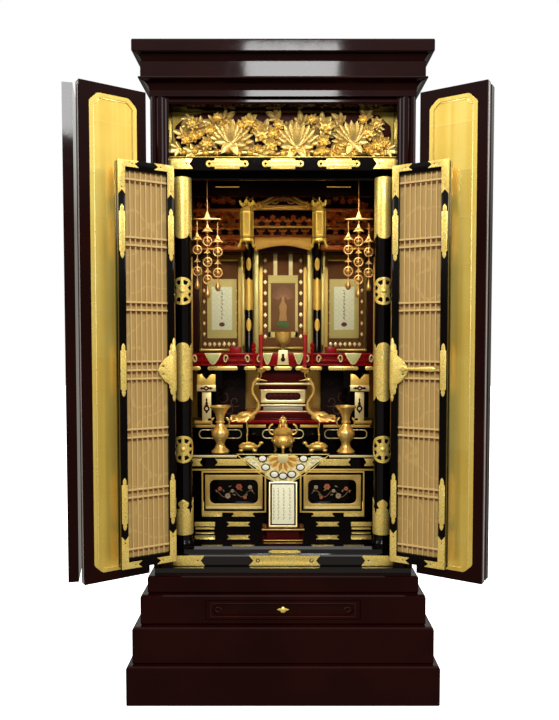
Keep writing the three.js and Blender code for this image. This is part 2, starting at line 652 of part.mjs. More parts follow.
function crane(sign) {
  // The bird stands on a tortoise and holds a lotus pricket over its beak.
  const at = (dx, dy, z) => [sign * (98 + dx), 238 + dy, shelfTop + joinGap + z];
  const base = shelfTop + joinGap;
  const parts = [turned([[0, 0], [30, 0], [30, 4], [22, 8], [0, 8]], 10, sign * 98, 238, base)];
  parts.push(ball(...at(0, 0, 16), 23, 17, 12, 8), ball(...at(-21, -4, 18), 7, 5, 5, 6));
  for (const [dx, dy] of [[-15, -12], [15, -12], [-15, 12], [15, 12]]) {
    parts.push(ball(...at(dx, dy, 9), 6, 5, 5, 4));
  }
  for (const dy of [-5, 6]) {
    parts.push(rod([at(4, dy, 22), at(6, dy, 54), at(8, dy, 92)], 2.4, 2, 4));
  }
  parts.push(ball(...at(10, 0, 98), 21, 13, 17, 8), ball(...at(24, 0, 92), 17, 9, 9, 6));
  parts.push(rod([at(-6, 0, 104), at(-20, 0, 124), at(-18, 0, 148), at(-4, 0, 168), at(-4, 0, 190),
    at(-14, 0, 202)], 5.2, 8, 5));
  parts.push(ball(...at(-15, 0, 204), 9, 7, 7, 6));
  parts.push(rod([at(-18, 0, 204), at(-30, 0, 203), at(-40, 0, 200)], 2.6, 2, 5));
  parts.push(rod([at(-37, 0, 199), at(-37, 0, 212), at(-37, 0, 226)], 2.6, 2, 5));
  parts.push(turned([[0, 222], [4, 222], [12, 231], [14, 238], [11, 238], [5, 236], [0, 236]], 8,
    sign * 61, 238, base));
  return join(parts);
}

function candle(sign) {
  const base = shelfTop + 2 * joinGap + 238;
  return turned([[0, -1.6], [4.4, -1.4], [5.6, 60], [6.4, 92], [4, 95], [0, 96]], 8, sign * 61, 238, base);
}

for (const { name, sign } of sides) {
  place(`${name}_flower_vase`, vase(sign * 174), brass);
  place(`${name}_crane_candlestick`, crane(sign), brass);
  place(`${name}_candle`, candle(sign), redWax);
}
place('censer', censer(), brass);
place('censer_lid', censerLid(), brass);

// The offering cup stands on its pedestal in the gap of the railing.
function offeringCup() {
  const base = upperTop + joinGap;
  const outside = [[0, 0], [24, 0], [22, 6], [14, 34], [16, 42], [7, 50], [4, 62], [8, 74], [20, 84],
    [24, 100]];
  const inside = [[22, 100], [18, 86], [8, 78], [0, 77]];
  return turned([...outside, ...inside], 10, 0, upperFront + 40, base);
}
place('offering_cup', offeringCup(), brass);

// ---- Memorial book on its stand, and the altar cloth ----
const bookLean = THREE.MathUtils.degToRad(14);
const bookStand = new THREE.Group();
bookStand.position.set(0, 104, floorTop + joinGap);
cabinet.add(bookStand);

function standBody() {
  const base = block(-54, 54, -22, 34, 0, 6);
  const box = block(-42, 42, -14, 28, 5, 28);
  const ledge = block(-54, 54, -22, 32, 27, 33);
  const lip = block(-44, 44, -22, -18, 32, 37);
  const restOutline = outline([[-5.6, 31], [6, 31], [26, 122], [17.2, 122]]);
  return join(base, box, ledge, lip, sideways(restOutline, -26, 26));
}
place('book_stand', standBody(), redLacquer, bookStand);

const book = new THREE.Group();
book.position.set(0, -12.5, 35);
book.rotation.x = -bookLean;
bookStand.add(book);
place('memorial_book', block(-37, 37, -2.5, 5.5, 0, 117), paper, book);

// The cloth lies on the shelf and falls over its edge as a triangle.
function altarCloth() {
  const lay = shelfTop + joinGap;
  const thick = 1.6;
  const front = shelfFront - joinGap;
  const top = block(-128, 128, front - thick, front + 6, lay, lay + thick);
  const fall = outline([[-128, lay + thick], [-120, lay - 14], [-14, 484], [0, 478], [14, 484],
    [120, lay - 14], [128, lay + thick]]);
  return join(top, backwards(fall, front - thick, front));
}
place('altar_cloth', altarCloth(), brocade);

// ---- Doors ----
// Leaves are drawn shut, from their hinge pin towards the middle; each group turns about its pin.
function cuspedPanel(u0, u1, z0, z1, cutBack) {
  const bump = cutBack * 0.28;
  const corner = (cu, cz, du, dz) => [
    [cu, cz + dz * cutBack], [cu + du * bump * 0.6, cz + dz * (cutBack - bump)],
    [cu + du * (cutBack - bump), cz + dz * bump * 0.6], [cu + du * cutBack, cz]];
  return [...corner(u0, z0, 1, 1), ...corner(u1, z0, -1, 1).reverse(), ...corner(u1, z1, -1, -1),
    ...corner(u0, z1, 1, -1).reverse()];
}

function outerBoard(sign, y0, y1, recess) {
  const inward = -sign;
  const { bottom, top, width } = outerLeaf;
  const board = block(inward * 1, inward * (1 + width), y0, y1, bottom, top);
  const field = cuspedPanel(24, width - 22, bottom + 22, top - 22, 22).map(([u, z]) => [u * inward, z]);
  return cut(board, backwards(outline(field), recess.from, recess.to));
}

function goldPanel(sign, back, front) {
  const inward = -sign;
  const { bottom, top, width } = outerLeaf;
  const rim = cuspedPanel(24.4, width - 22.4, bottom + 22.4, top - 22.4, 22).map(([u, z]) => [u * inward, z]);
  const field = cuspedPanel(33, width - 31, bottom + 31, top - 31, 18).map(([u, z]) => [u * inward, z]);
  const [y0, y1] = [back, front].sort((a, b) => a - b);
  const hollow = [front, front + (back - front) * 0.55].sort((a, b) => a - b);
  return cut(backwards(outline(rim), y0, y1), backwards(outline(field), hollow[0], hollow[1] + 0.01));
}

function innerFrame(sign, y0, y1) {
  const inward = -sign;
  const { bottom, top, width } = innerLeaf;
  const board = block(inward * 1, inward * (1 + width), y0, y1, bottom, top);
  return cut(board, block(inward * 20, inward * (width - 18), y0 - 1, y1 + 1, bottom + 24, top - 22));
}

// The screen: gauze crossed by bands of rails, the widest in the middle, between two upright edges.
const screenRails = [0.045, 0.2, 0.35, 0.51, 0.67, 0.82, 0.955];

function latticeScreen(sign, gauzeY, barFront) {
  const inward = -sign;
  const { bottom, top, width } = innerLeaf;
  const [u0, u1, z0, z1] = [20 + joinGap, width - 18 - joinGap, bottom + 24 + joinGap, top - 22 - joinGap];
  const [yBack, yFront] = [gauzeY, barFront];
  const sheet = block(inward * u0, inward * u1, yBack, yBack + Math.sign(yFront - yBack) * 2, z0, z1);
  const parts = [sheet];
  const barBack = yBack + Math.sign(yFront - yBack) * 1.5;
  for (const u of [u0, u1 - 3]) {
    parts.push(block(inward * u, inward * (u + 3), barBack, yFront, z0, z1));
  }
  for (const share of screenRails) {
    const middle = z1 - (z1 - z0) * share;
    const half = share === 0.51 ? 17 : 9.5;
    parts.push(block(inward * u0, inward * u1, barBack, yFront, middle - half, middle + half));
  }
  return join(parts);
}

for (const { name, sign } of sides) {
  const inward = -sign;
  const turn = (degrees) => sign * THREE.MathUtils.degToRad(degrees);
  const { width, thick, fold } = outerLeaf;
  const outerPin = new THREE.Group();
  outerPin.position.set(sign * outerLeaf.pinX, outerLeaf.pinY, 0);
  outerPin.rotation.z = turn(outerOpen[name]);
  cabinet.add(outerPin);
  place(`${name}_outer_leaf`, outerBoard(sign, -thick, 0, { from: -6, to: 1 }), maroonLacquer, outerPin);
  place(`${name}_outer_gold_panel`, goldPanel(sign, -5.6, 0), goldLeaf, outerPin);
  const foldPin = new THREE.Group();
  foldPin.position.set(inward * (width + 2), -thick - fold, 0);
  foldPin.rotation.z = turn(outerFolded[name]);
  outerPin.add(foldPin);
  const face = fold + thick;
  const foldRecess = { from: face - 6, to: face + 1 };
  place(`${name}_outer_fold_leaf`, outerBoard(sign, fold, face, foldRecess), maroonLacquer, foldPin);
  place(`${name}_fold_gold_panel`, goldPanel(sign, face - 5.6, face), goldLeaf, foldPin);

  const innerPin = new THREE.Group();
  innerPin.position.set(sign * innerLeaf.pinX, innerLeaf.pinY, 0);
  innerPin.rotation.z = turn(innerOpen[name]);
  cabinet.add(innerPin);
  const near = innerLeaf.fold;
  const far = near + innerLeaf.thick;
  place(`${name}_inner_frame`, innerFrame(sign, near, far), blackLacquer, innerPin);
  place(`${name}_inner_screen`, latticeScreen(sign, far - 3, near + 3), gauze, innerPin);
  const innerFoldPin = new THREE.Group();
  innerFoldPin.position.set(inward * (innerLeaf.width + 2), far + near, 0);
  innerFoldPin.rotation.z = -turn(innerFolded);
  innerPin.add(innerFoldPin);
  place(`${name}_inner_fold_frame`, innerFrame(sign, -far, -near), blackLacquer, innerFoldPin);
  place(`${name}_inner_fold_screen`, latticeScreen(sign, -near - 3, -far + 3), gauze, innerFoldPin);
}

export default group;
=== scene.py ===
import json
from math import radians, pi, sin, cos
import bpy
from mathutils import Matrix, Vector

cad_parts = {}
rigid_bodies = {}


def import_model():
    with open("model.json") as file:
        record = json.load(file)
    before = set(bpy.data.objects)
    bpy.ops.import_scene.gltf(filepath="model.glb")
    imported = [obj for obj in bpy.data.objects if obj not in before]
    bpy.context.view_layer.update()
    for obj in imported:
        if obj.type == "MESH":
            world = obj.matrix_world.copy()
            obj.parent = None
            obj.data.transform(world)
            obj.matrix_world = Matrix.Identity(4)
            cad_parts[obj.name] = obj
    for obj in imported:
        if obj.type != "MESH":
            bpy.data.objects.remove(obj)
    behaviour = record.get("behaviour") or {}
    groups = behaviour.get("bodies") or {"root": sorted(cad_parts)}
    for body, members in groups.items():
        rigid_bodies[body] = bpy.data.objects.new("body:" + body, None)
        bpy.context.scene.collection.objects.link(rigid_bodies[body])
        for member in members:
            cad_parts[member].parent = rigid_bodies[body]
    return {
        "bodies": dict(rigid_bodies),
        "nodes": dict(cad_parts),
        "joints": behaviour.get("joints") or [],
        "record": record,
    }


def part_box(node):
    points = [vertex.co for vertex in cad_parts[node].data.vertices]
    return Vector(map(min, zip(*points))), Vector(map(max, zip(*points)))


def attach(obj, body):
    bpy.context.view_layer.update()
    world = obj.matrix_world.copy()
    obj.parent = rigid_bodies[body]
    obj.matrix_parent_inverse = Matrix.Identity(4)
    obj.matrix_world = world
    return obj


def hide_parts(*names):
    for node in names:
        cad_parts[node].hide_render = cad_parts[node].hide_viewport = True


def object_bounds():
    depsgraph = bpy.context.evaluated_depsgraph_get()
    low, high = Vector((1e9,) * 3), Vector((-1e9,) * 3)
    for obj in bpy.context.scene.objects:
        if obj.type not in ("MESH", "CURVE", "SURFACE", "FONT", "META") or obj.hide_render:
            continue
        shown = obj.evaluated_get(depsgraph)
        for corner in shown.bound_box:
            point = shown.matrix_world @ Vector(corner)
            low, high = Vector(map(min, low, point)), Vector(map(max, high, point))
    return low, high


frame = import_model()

cadBox = [list(corner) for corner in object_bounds()]
joints = {joint["name"]: joint for joint in frame["joints"]}
follows = {c["joint"]: c["ratio"] for c in frame["record"]["behaviour"]["couplings"]}
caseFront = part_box("left_post")[0].y    # the front plane of the case's posts
bpy.context.scene.view_settings.view_transform = "Standard"

# view, light and floor
view = {"distance": 1.655, "eye": 0.873, "pitch": 2.5, "lens": 34.0, "shift": (-0.0049, 0.0176)}
studio = {
    "above": (1.25, 1.25, 1.20, 1), "level": (0.34, 0.32, 0.28, 1), "below": (0.32, 0.30, 0.26, 1),
    "lamps": {    # power in watts, width and height, place, what it points at
        "frontLamp": (66, (0.62, 0.62), (0.06, -3.30, 2.55), (0.0, 0.0, 1.1)),
        "leftLamp": (20, (1.0, 0.9), (-2.75, -1.25, 2.35), (0.0, 0.0, 0.9)),
        "rightLamp": (20, (1.0, 0.9), (2.75, -1.25, 2.35), (0.0, 0.0, 0.9)),
        "topLamp": (8, (2.0, 1.6), (0.0, -0.6, 3.2), (0.0, -0.1, 0.8)),
    },
    "altarLamp": (1.7, (0.44, 0.05), (0.0, -0.135, 1.262), (0.0, 0.12, 0.75)),
}


def addCamera():
    bpy.ops.object.camera_add(location=(0, caseFront - view["distance"], view["eye"]),
                              rotation=(radians(90 - view["pitch"]), 0, 0))
    camera = bpy.context.object
    camera.data.lens, camera.data.sensor_width = view["lens"], 36
    camera.data.shift_x, camera.data.shift_y = view["shift"]
    bpy.context.scene.camera = camera


def addLamp(name, power, size, place, aim, colour=(1, 1, 1)):
    bpy.ops.object.light_add(type="AREA", location=place)
    lamp = bpy.context.object
    lamp.name = name
    lamp.data.energy, lamp.data.shape, lamp.data.color = power, "RECTANGLE", colour
    lamp.data.size, lamp.data.size_y = size
    lamp.rotation_euler = (Vector(aim) - Vector(place)).to_track_quat("-Z", "Y").to_euler()
    return lamp


# shader maths: a Line wraps a socket, and sums on it add Math nodes
class Line:
    def __init__(self, paint, socket):
        self.paint, self.socket = paint, socket

    def math(self, operation, *others):
        return self.paint.node("Math", {"operation": operation}, self, *others)

    def __add__(self, other): return self.math("ADD", other)
    def __radd__(self, other): return self.math("ADD", other)
    def __sub__(self, other): return self.math("SUBTRACT", other)
    def __rsub__(self, other): return self.paint.node("Math", {"operation": "SUBTRACT"}, other, self)
    def __mul__(self, other): return self.math("MULTIPLY", other)
    def __rmul__(self, other): return self.math("MULTIPLY", other)
    def __truediv__(self, other): return self.math("DIVIDE", other)
    def sine(self): return self.math("SINE")
    def size(self): return self.math("ABSOLUTE")
    def wrap(self, step): return self.math("WRAP", step, 0)
    def least(self, other): return self.math("MINIMUM", other)
    def most(self, other): return self.math("MAXIMUM", other)

    def smooth(self, low, high):    # 0 below low, 1 above high
        return self.paint.node("MapRange", {"interpolation_type": "SMOOTHSTEP"}, self, low, high, 0, 1)

    def split(self):
        parts = self.paint.add("SeparateXYZ")
        self.paint.join(self, parts.inputs[0])
        return [Line(self.paint, socket) for socket in parts.outputs]


class Paint:
    def __init__(self, name):
        self.material = bpy.data.materials.new(name)
        self.material.use_nodes = True
        self.tree = self.material.node_tree
        self.shader = self.tree.nodes["Principled BSDF"]

    def add(self, kind, settings=None):
        made = self.tree.nodes.new("ShaderNode" + kind)
        for key, value in (settings or {}).items():
            if key == "stops":
                ramp = made.color_ramp
                while len(ramp.elements) < len(value):
                    ramp.elements.new(1)
                for element, (place, colour) in zip(ramp.elements, value):
                    element.position, element.color = place, colour
            else:
                setattr(made, key, value)
        return made

    def join(self, value, socket):
        if isinstance(value, Line):
            self.tree.links.new(value.socket, socket)
        elif value is not None:
            socket.default_value = value

    def node(self, kind, settings, *values, out=0, **named):
        made = self.add(kind, settings)
        for value, socket in zip(values, made.inputs):
            self.join(value, socket)
        for name, value in named.items():
            self.join(value, made.inputs[name])
        return Line(self, made.outputs[out])

    def place(self, scale=None, turn=(0, 0, 0), shift=(0, 0, 0), source="Object"):
        spot = self.node("TexCoord", {}, out=source)
        if scale is None:
            return spot
        return self.node("Mapping", {}, spot, shift, turn, scale)

    def noise(self, spot, scale, detail=3.0, rough=0.5, out=0):
        return self.node("TexNoise", {}, Vector=spot, Scale=scale, Detail=detail, Roughness=rough, out=out)

    def cells(self, spot, scale, feature="F1", out=0, random=1.0):
        return self.node("TexVoronoi", {"feature": feature}, Vector=spot, Scale=scale, Randomness=random,
                         out=out)

    def mix(self, share, first, second):
        made = self.add("Mix", {"data_type": "RGBA"})
        for value, socket in ((share, made.inputs[0]), (first, made.inputs[6]), (second, made.inputs[7])):
            self.join(value, socket)
        return Line(self, made.outputs[2])

    def ramp(self, share, stops):
        return self.node("ValToRGB", {"stops": stops}, share)

    def bump(self, height, strength, distance, under=None):
        return self.node("Bump", {}, Strength=strength, Distance=distance, Height=height, Normal=under)

    def finish(self, **sockets):    # constants are set on the shader, links only where they are needed
        for name, value in sockets.items():
            self.join(value, self.shader.inputs[name.replace("_", " ")])
        return self.material


def addStage():
    world = bpy.data.worlds.new("studio")
    bpy.context.scene.world = world
    world.use_nodes = True
    tree = world.node_tree
    glow = tree.nodes["Background"]
    coord = tree.nodes.new("ShaderNodeTexCoord")
    height = tree.nodes.new("ShaderNodeSeparateXYZ")
    ramp = tree.nodes.new("ShaderNodeValToRGB")
    stops = ((0.34, studio["below"]), (0.47, studio["level"]), (0.58, studio["level"]), (0.70, studio["above"]))
    while len(ramp.color_ramp.elements) < len(stops):
        ramp.color_ramp.elements.new(1)
    for element, (share, colour) in zip(ramp.color_ramp.elements, stops):
        element.position, element.color = share, colour
    half = tree.nodes.new("ShaderNodeMapRange")
    half.inputs[1].default_value = -1
    ray = tree.nodes.new("ShaderNodeLightPath")
    seen = tree.nodes.new("ShaderNodeMix")
    seen.data_type = "RGBA"
    seen.inputs[7].default_value = (1, 1, 1, 1)
    for start, end in ((coord.outputs[0], height.inputs[0]), (height.outputs[2], half.inputs[0]),
                       (half.outputs[0], ramp.inputs[0]), (ramp.outputs[0], seen.inputs[6]),
                       (ray.outputs[0], seen.inputs[0]), (seen.outputs[2], glow.inputs[0])):
        tree.links.new(start, end)
    bpy.ops.mesh.primitive_plane_add(size=24, location=(0, 0, cadBox[0][2] - 0.0004))
    floor = bpy.context.object
    floor.name = "studio_floor"
    paint = Paint("studioFloor")
    paint.finish(Base_Color=(0.9, 0.9, 0.9, 1), Roughness=0.9, Emission_Color=(1, 1, 1, 1),
                 Emission_Strength=1.0)
    floor.data.materials.append(paint.material)
    floor.visible_glossy = floor.visible_diffuse = False
    for name, values in studio["lamps"].items():
        addLamp(name, *values)
    inside = addLamp("altarLamp", *studio["altarLamp"], colour=(1.0, 0.86, 0.62))
    inside.visible_camera = inside.visible_glossy = False


addCamera()
addStage()
print("camera, floor and lamps")


# finishes
def lacquer(name, deep, warm, gloss=0.06, coat=0.0):
    # a slow drift of tone under an almost flat, polished coat
    paint = Paint(name)
    spot = paint.place()
    drift = paint.noise(spot, 5.0, 3).smooth(0.35, 0.7)
    rubbed = paint.noise(spot, 38.0, 4, 0.6).smooth(0.45, 0.8)
    dust = paint.noise(spot, 1400.0, 1).smooth(0.74, 0.8)
    peel = paint.bump(paint.noise(spot, 22.0, 2), 0.05, 0.0015)
    tone = paint.mix(drift, deep, warm)
    tone = paint.mix(dust * 0.1, tone, (0.1, 0.05, 0.04, 1))
    paint.finish(Base_Color=tone, Roughness=gloss + rubbed * 0.03, Coat_Weight=coat, Coat_Roughness=0.04,
                 IOR=1.2, Normal=peel)
    return paint.material


def metalSheet(name, light, deep, rough, chase=0.0, scale=190.0, hammer=0.0):
    # polished sheet metal; chase cuts curling lines into it
    paint = Paint(name)
    spot = paint.place()
    drift = paint.noise(spot, 30.0, 3).smooth(0.3, 0.7)
    tone = paint.mix(drift * 0.5, light, deep)
    height = paint.noise(spot, 260.0, 2) * hammer
    cut = 0.0
    if chase:
        swirl = paint.noise(spot, scale * 0.28, 2, out=1)
        bent = paint.node("VectorMath", {"operation": "MULTIPLY_ADD"}, swirl, (0.018, 0.018, 0.018), spot)
        rings = paint.cells(bent, scale, "DISTANCE_TO_EDGE")
        cut = 1 - rings.smooth(0.02, 0.16)
        tone = paint.mix(cut * chase, tone, (deep[0] * 0.62, deep[1] * 0.48, deep[2] * 0.4, 1))
        height = height - cut * chase
    paint.finish(Base_Color=tone, Metallic=0.66, Roughness=rough + drift * 0.08 + cut * 0.15,
                 Normal=paint.bump(height, 0.35, 0.0006))
    return paint.material


def goldLeaf(name, turn):    # square leaves laid edge over edge; turn lines them up with the board
    paint = Paint(name)
    spot = paint.place((1, 1, 1), (0, 0, turn))
    across, up = spot.split()[::2]
    side = 0.109
    columns, rows = (across / side).wrap(1), (up / side + 0.3).wrap(1)
    upright, level = (1 - line.least(1 - line).smooth(0.004, 0.03) for line in (columns, rows))
    seam = upright.most(level)
    floorX, floorZ = (across / side).math("FLOOR"), (up / side + 0.3).math("FLOOR")
    sheet = paint.node("TexWhiteNoise", {"noise_dimensions": "2D"},
                       Vector=paint.node("CombineXYZ", {}, floorX, floorZ, 0.0))
    cloud = paint.noise(spot, 14.0, 5, 0.6)
    crease = paint.noise(spot, 120.0, 4, 0.7)
    streak = paint.noise(paint.place((1, 1, 0.02), (0, 0, turn)), 60.0, 2).smooth(0.35, 0.65)
    golds = ((0.2, (0.84, 0.56, 0.09, 1)), (0.5, (0.93, 0.66, 0.13, 1)), (0.85, (0.97, 0.76, 0.20, 1)))
    tone = paint.ramp(cloud * 0.4 + sheet * 0.2 + streak * 0.4, golds)
    tone = paint.mix(seam * 0.15, tone, (0.90, 0.76, 0.34, 1))
    paint.finish(Base_Color=tone, Metallic=0.62, Roughness=0.2 + cloud * 0.08 + sheet * 0.02,
                 Normal=paint.bump(crease * 0.6 + seam * 0.5, 0.22, 0.0005))
    return paint.material


def gilding(name, light=(0.87, 0.62, 0.20, 1), shade=(0.16, 0.06, 0.012, 1), near=0.0, far=1.0, rough=0.3):
    # gilded carving with painted shade: it turns brown where it lies deep, standing in for shade in the
    # recesses; near and far are the front and the ground, along Y
    paint = Paint(name)
    spot = paint.place()
    depthShadeMask = spot.split()[1].smooth(near, far)
    cloud = paint.noise(spot, 60.0, 4, 0.6)
    grain = paint.noise(spot, 420.0, 2)
    tone = paint.mix(cloud.smooth(0.35, 0.7) * 0.45, light, (0.74, 0.46, 0.12, 1))
    # painted shade: the tone goes over to the shade colour with depth along Y
    tone = paint.mix((depthShadeMask * 0.8 + cloud * 0.25 - 0.1).math("MINIMUM", 1.0), tone, shade)
    paint.finish(Base_Color=tone, Metallic=0.88, Roughness=rough + depthShadeMask * 0.25 + cloud * 0.1,
                 Normal=paint.bump(grain + cloud * 0.8, 0.25, 0.0006))
    return paint.material


def gauzeCloth(name, turn):    # tan silk gauze with curling vines woven in
    paint = Paint(name)
    spot = paint.place((1, 1, 1), (0, 0, turn))
    across, up = spot.split()[::2]
    flat = paint.node("CombineXYZ", {}, across, up, 0.0)
    swirl = paint.noise(flat, 24.0, 1, out=1)
    bent = paint.node("VectorMath", {"operation": "MULTIPLY_ADD"}, swirl, (0.03, 0.03, 0.03), flat)
    vine = (paint.noise(bent, 16.0, 0) - 0.5).size().smooth(0.012, 0.03)
    thread = ((across * 2400).sine() * 0.5 + (up * 2400).sine() * 0.5).smooth(-0.4, 0.9)
    tone = paint.mix(vine, (0.47, 0.305, 0.095, 1), (0.39, 0.24, 0.07, 1))
    tone = paint.mix(thread * 0.2, tone, (0.50, 0.34, 0.12, 1))
    paint.finish(Base_Color=tone, Roughness=0.55, Metallic=0.1,
                 Normal=paint.bump(thread * 0.4 - vine, 0.3, 0.0004))
    return paint.material


def waxRed():
    paint = Paint("redWax")
    spot = paint.place()
    bloom = paint.noise(spot, 90.0, 3).smooth(0.4, 0.8)
    paint.finish(Base_Color=paint.mix(bloom * 0.4, (0.30, 0.004, 0.006, 1), (0.40, 0.02, 0.014, 1)),
                 Roughness=0.32 + bloom * 0.2, Normal=paint.bump(bloom, 0.1, 0.0005))
    return paint.material


def silk(name, first, second, scale=55.0):    # figured silk: small lozenges with a bud in each
    paint = Paint(name)
    spot = paint.place()
    across, up = spot.split()[::2]
    left, right = (across + up) * scale, (across - up) * scale
    a, b = (left.wrap(1) - 0.5).size(), (right.wrap(1) - 0.5).size()
    net = a.most(b).smooth(0.40, 0.46)
    bud = 1 - (a * a + b * b).smooth(0.02, 0.05)
    thread = (across * 3200).sine() * (up * 3200).sine()
    tone = paint.mix(net.most(bud), first, second)
    paint.finish(Base_Color=tone, Roughness=0.6, Metallic=0.08, IOR=1.2,
                 Normal=paint.bump(thread * 0.5 + net + bud, 0.25, 0.0004))
    return paint.material


dark = (0.0085, 0.0008, 0.0006, 1)
finishes = {
    "maroon_lacquer": lacquer("maroonLacquer", dark, (0.0135, 0.0014, 0.0009, 1)),
    "black_lacquer": lacquer("blackLacquer", (0.0010, 0.0005, 0.0005, 1), (0.0022, 0.0009, 0.0008, 1), 0.05),
    "red_lacquer": lacquer("redLacquer", (0.20, 0.003, 0.004, 1), (0.30, 0.007, 0.006, 1), 0.2),
    "gold_leaf": goldLeaf("goldLeaf", 0.0),
    # painted shade: this gilding darkens the further back it lies along Y, from 0 to 1 m
    "gilded_carving": gilding("gildedCarving"),
    "brass": metalSheet("brass", (0.96, 0.70, 0.20, 1), (0.84, 0.52, 0.09, 1), 0.24, hammer=0.4),
    "chased_brass": metalSheet("chasedBrass", (1.0, 0.80, 0.24, 1), (0.92, 0.62, 0.11, 1), 0.26, 0.6),
    "door_gauze": gauzeCloth("doorGauze", 0.0),
    "scroll_silk": silk("scrollSilk", (0.42, 0.31, 0.10, 1), (0.62, 0.48, 0.18, 1)),
    "brocade": silk("brocadeSilk", (0.60, 0.42, 0.14, 1), (0.74, 0.62, 0.34, 1), 40),
    "paper": silk("paper", (0.80, 0.76, 0.58, 1), (0.78, 0.72, 0.52, 1)),
    "red_wax": waxRed(),
}
def dyed(piece, finish):
    piece.data.materials.clear()
    piece.data.materials.append(finish)


for part in frame["record"]["subparts"]:
    dyed(frame["nodes"][part["node"]], finishes[part["material_slot"]])
print("finishes on the solids")

# making things: all is modelled in millimetres from the middle of the case's front, and moved when finished
toFrame = Matrix.Translation((0, caseFront, 0)) @ Matrix.Scale(0.001, 4)


def span(node):    # a node's box in those millimetres
    return [toFrame.inverted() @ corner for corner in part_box(node)]


def middle(node):    # the middle of a node's box in plan, and its foot and top
    low, high = span(node)
    return (low.x + high.x) / 2, (low.y + high.y) / 2, low.z, high.z


def standing(node):    # places a piece drawn round the origin on the foot of a node
    return toFrame @ Matrix.Translation(middle(node)[:3])


def pick(*pieces):
    for piece in bpy.context.selected_objects:
        piece.select_set(False)
    for piece in pieces:
        piece.select_set(True)
    bpy.context.view_layer.objects.active = pieces[0]


def modify(piece, kind, **settings):
    pick(piece)
    step = piece.modifiers.new(kind.title(), kind)
    for key, value in settings.items():
        setattr(step, key, value)
    bpy.ops.object.modifier_apply(modifier=step.name)
    return piece


def slab(low, high, edge=0.0, segments=2):
    bpy.ops.mesh.primitive_cube_add(size=1, location=[(a + b) / 2 for a, b in zip(low, high)])
    made = bpy.context.object
    sides = [abs(b - a) for a, b in zip(low, high)]
    made.data.transform(Matrix.Translation(made.location) @ Matrix.Diagonal(sides + [1]))
    made.location = (0, 0, 0)
    if edge:
        modify(made, "BEVEL", width=edge, segments=segments)
    return made


def moved(piece, x=0.0, y=0.0, z=0.0, turn=0.0, axis="Y"):
    piece.data.transform(Matrix.Translation((x, y, z)) @ Matrix.Rotation(radians(turn), 4, axis))
    return piece


def copied(piece, x=0.0, y=0.0, z=0.0, turn=0.0, axis="Y", size=(1, 1, 1)):
    made = piece.copy()
    made.data = piece.data.copy()
    bpy.context.collection.objects.link(made)
    matrix = (Matrix.Translation((x, y, z)) @ Matrix.Rotation(radians(turn), 4, axis)
              @ Matrix.Diagonal((*size, 1)))
    made.data.transform(matrix)
    if matrix.determinant() < 0:
        made.data.flip_normals()
    return made


def joined(*parts):
    pick(*parts)
    if len(parts) > 1:
        bpy.ops.object.join()
    return bpy.context.object


def finished(name, parts, slotName, finish, stands=(), body="cabinet", place=toFrame, sharp=35):
    # joins the parts, moves them into the frame, and says what they ride on and stand for
    made = joined(*parts)
    made.name = made.data.name = name
    made.data.transform(place)
    if place.determinant() < 0:
        made.data.flip_normals()
    dyed(made, finish)
    bpy.ops.object.shade_smooth_by_angle(angle=radians(sharp))
    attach(made, body)
    if stands:
        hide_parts(*stands)
    return made


def lineOf(paths, closed, fill=False, **settings):
    curve = bpy.data.curves.new("line", "CURVE")
    curve.dimensions = "2D" if fill else "3D"
    curve.fill_mode = "BOTH" if fill else "FULL"
    for key, value in settings.items():
        setattr(curve, key, value)
    for path in paths:
        spline = curve.splines.new("POLY")
        spline.points.add(len(path) - 1)
        for point, place in zip(spline.points, path):
            point.co = (*place, *(0,) * (3 - len(place)), 1)
        spline.use_cyclic_u = closed
    made = bpy.data.objects.new("line", curve)
    bpy.context.collection.objects.link(made)
    pick(made)
    bpy.ops.object.convert(target="MESH")
    made = bpy.context.object
    bpy.ops.object.mode_set(mode="EDIT")
    bpy.ops.mesh.select_all(action="SELECT")
    bpy.ops.mesh.remove_doubles(threshold=0.001)
    bpy.ops.object.mode_set(mode="OBJECT")
    return made


def cutPlate(outlines, thick=1.2, edge=0.3):    # sheet cut to outlines in x and z; its front is at -thick
    made = lineOf(outlines, True, True, extrude=thick / 2 - edge, bevel_depth=edge, bevel_resolution=1,
                  offset=-edge)
    made.data.transform(Matrix.Translation((0, -thick / 2, 0)) @ Matrix.Rotation(pi / 2, 4, "X"))
    return made


def tube(points, radius, sides=6, closed=False):
    return lineOf([points], closed, bevel_depth=radius, bevel_resolution=max(0, sides // 2 - 2),
                  use_fill_caps=True)


def turned(profile, x=0.0, y=0.0, z=0.0, sides=24):    # profile points are radius and height
    made = lineOf([[(r, 0, h) for r, h in profile]], False)
    bpy.ops.object.mode_set(mode="EDIT")
    bpy.ops.mesh.select_all(action="SELECT")
    bpy.ops.mesh.spin(steps=sides, angle=2 * pi, center=(0, 0, 0), axis=(0, 0, 1))
    bpy.ops.mesh.select_all(action="SELECT")
    bpy.ops.mesh.remove_doubles(threshold=0.01)
    bpy.ops.mesh.normals_make_consistent(inside=False)
    bpy.ops.object.mode_set(mode="OBJECT")
    return moved(made, x, y, z)


def arc(x, z, radius, start, end, count=8, squash=1.0):
    return [(x + radius * cos(radians(start + (end - start) * i / count)),
             z + radius * squash * sin(radians(start + (end - start) * i / count))) for i in range(count + 1)]


def spiral(side, x, y, z, size, fade, count=13, turn=0.0):
    # a curl in x and z that winds in from its size; fade is the angle at which it would close
    steps = [i * 0.5 for i in range(count)]
    return [(side * (x + size * (1 - t / fade) * cos(t + turn)), y,
             z + abs(size) * (1 - t / fade) * sin(t + turn)) for t in steps]


def evenSides(half):    # an outline from its right half, drawn from the top down
    return half + [(-x, z) for x, z in reversed(half) if abs(x) > 1e-6]


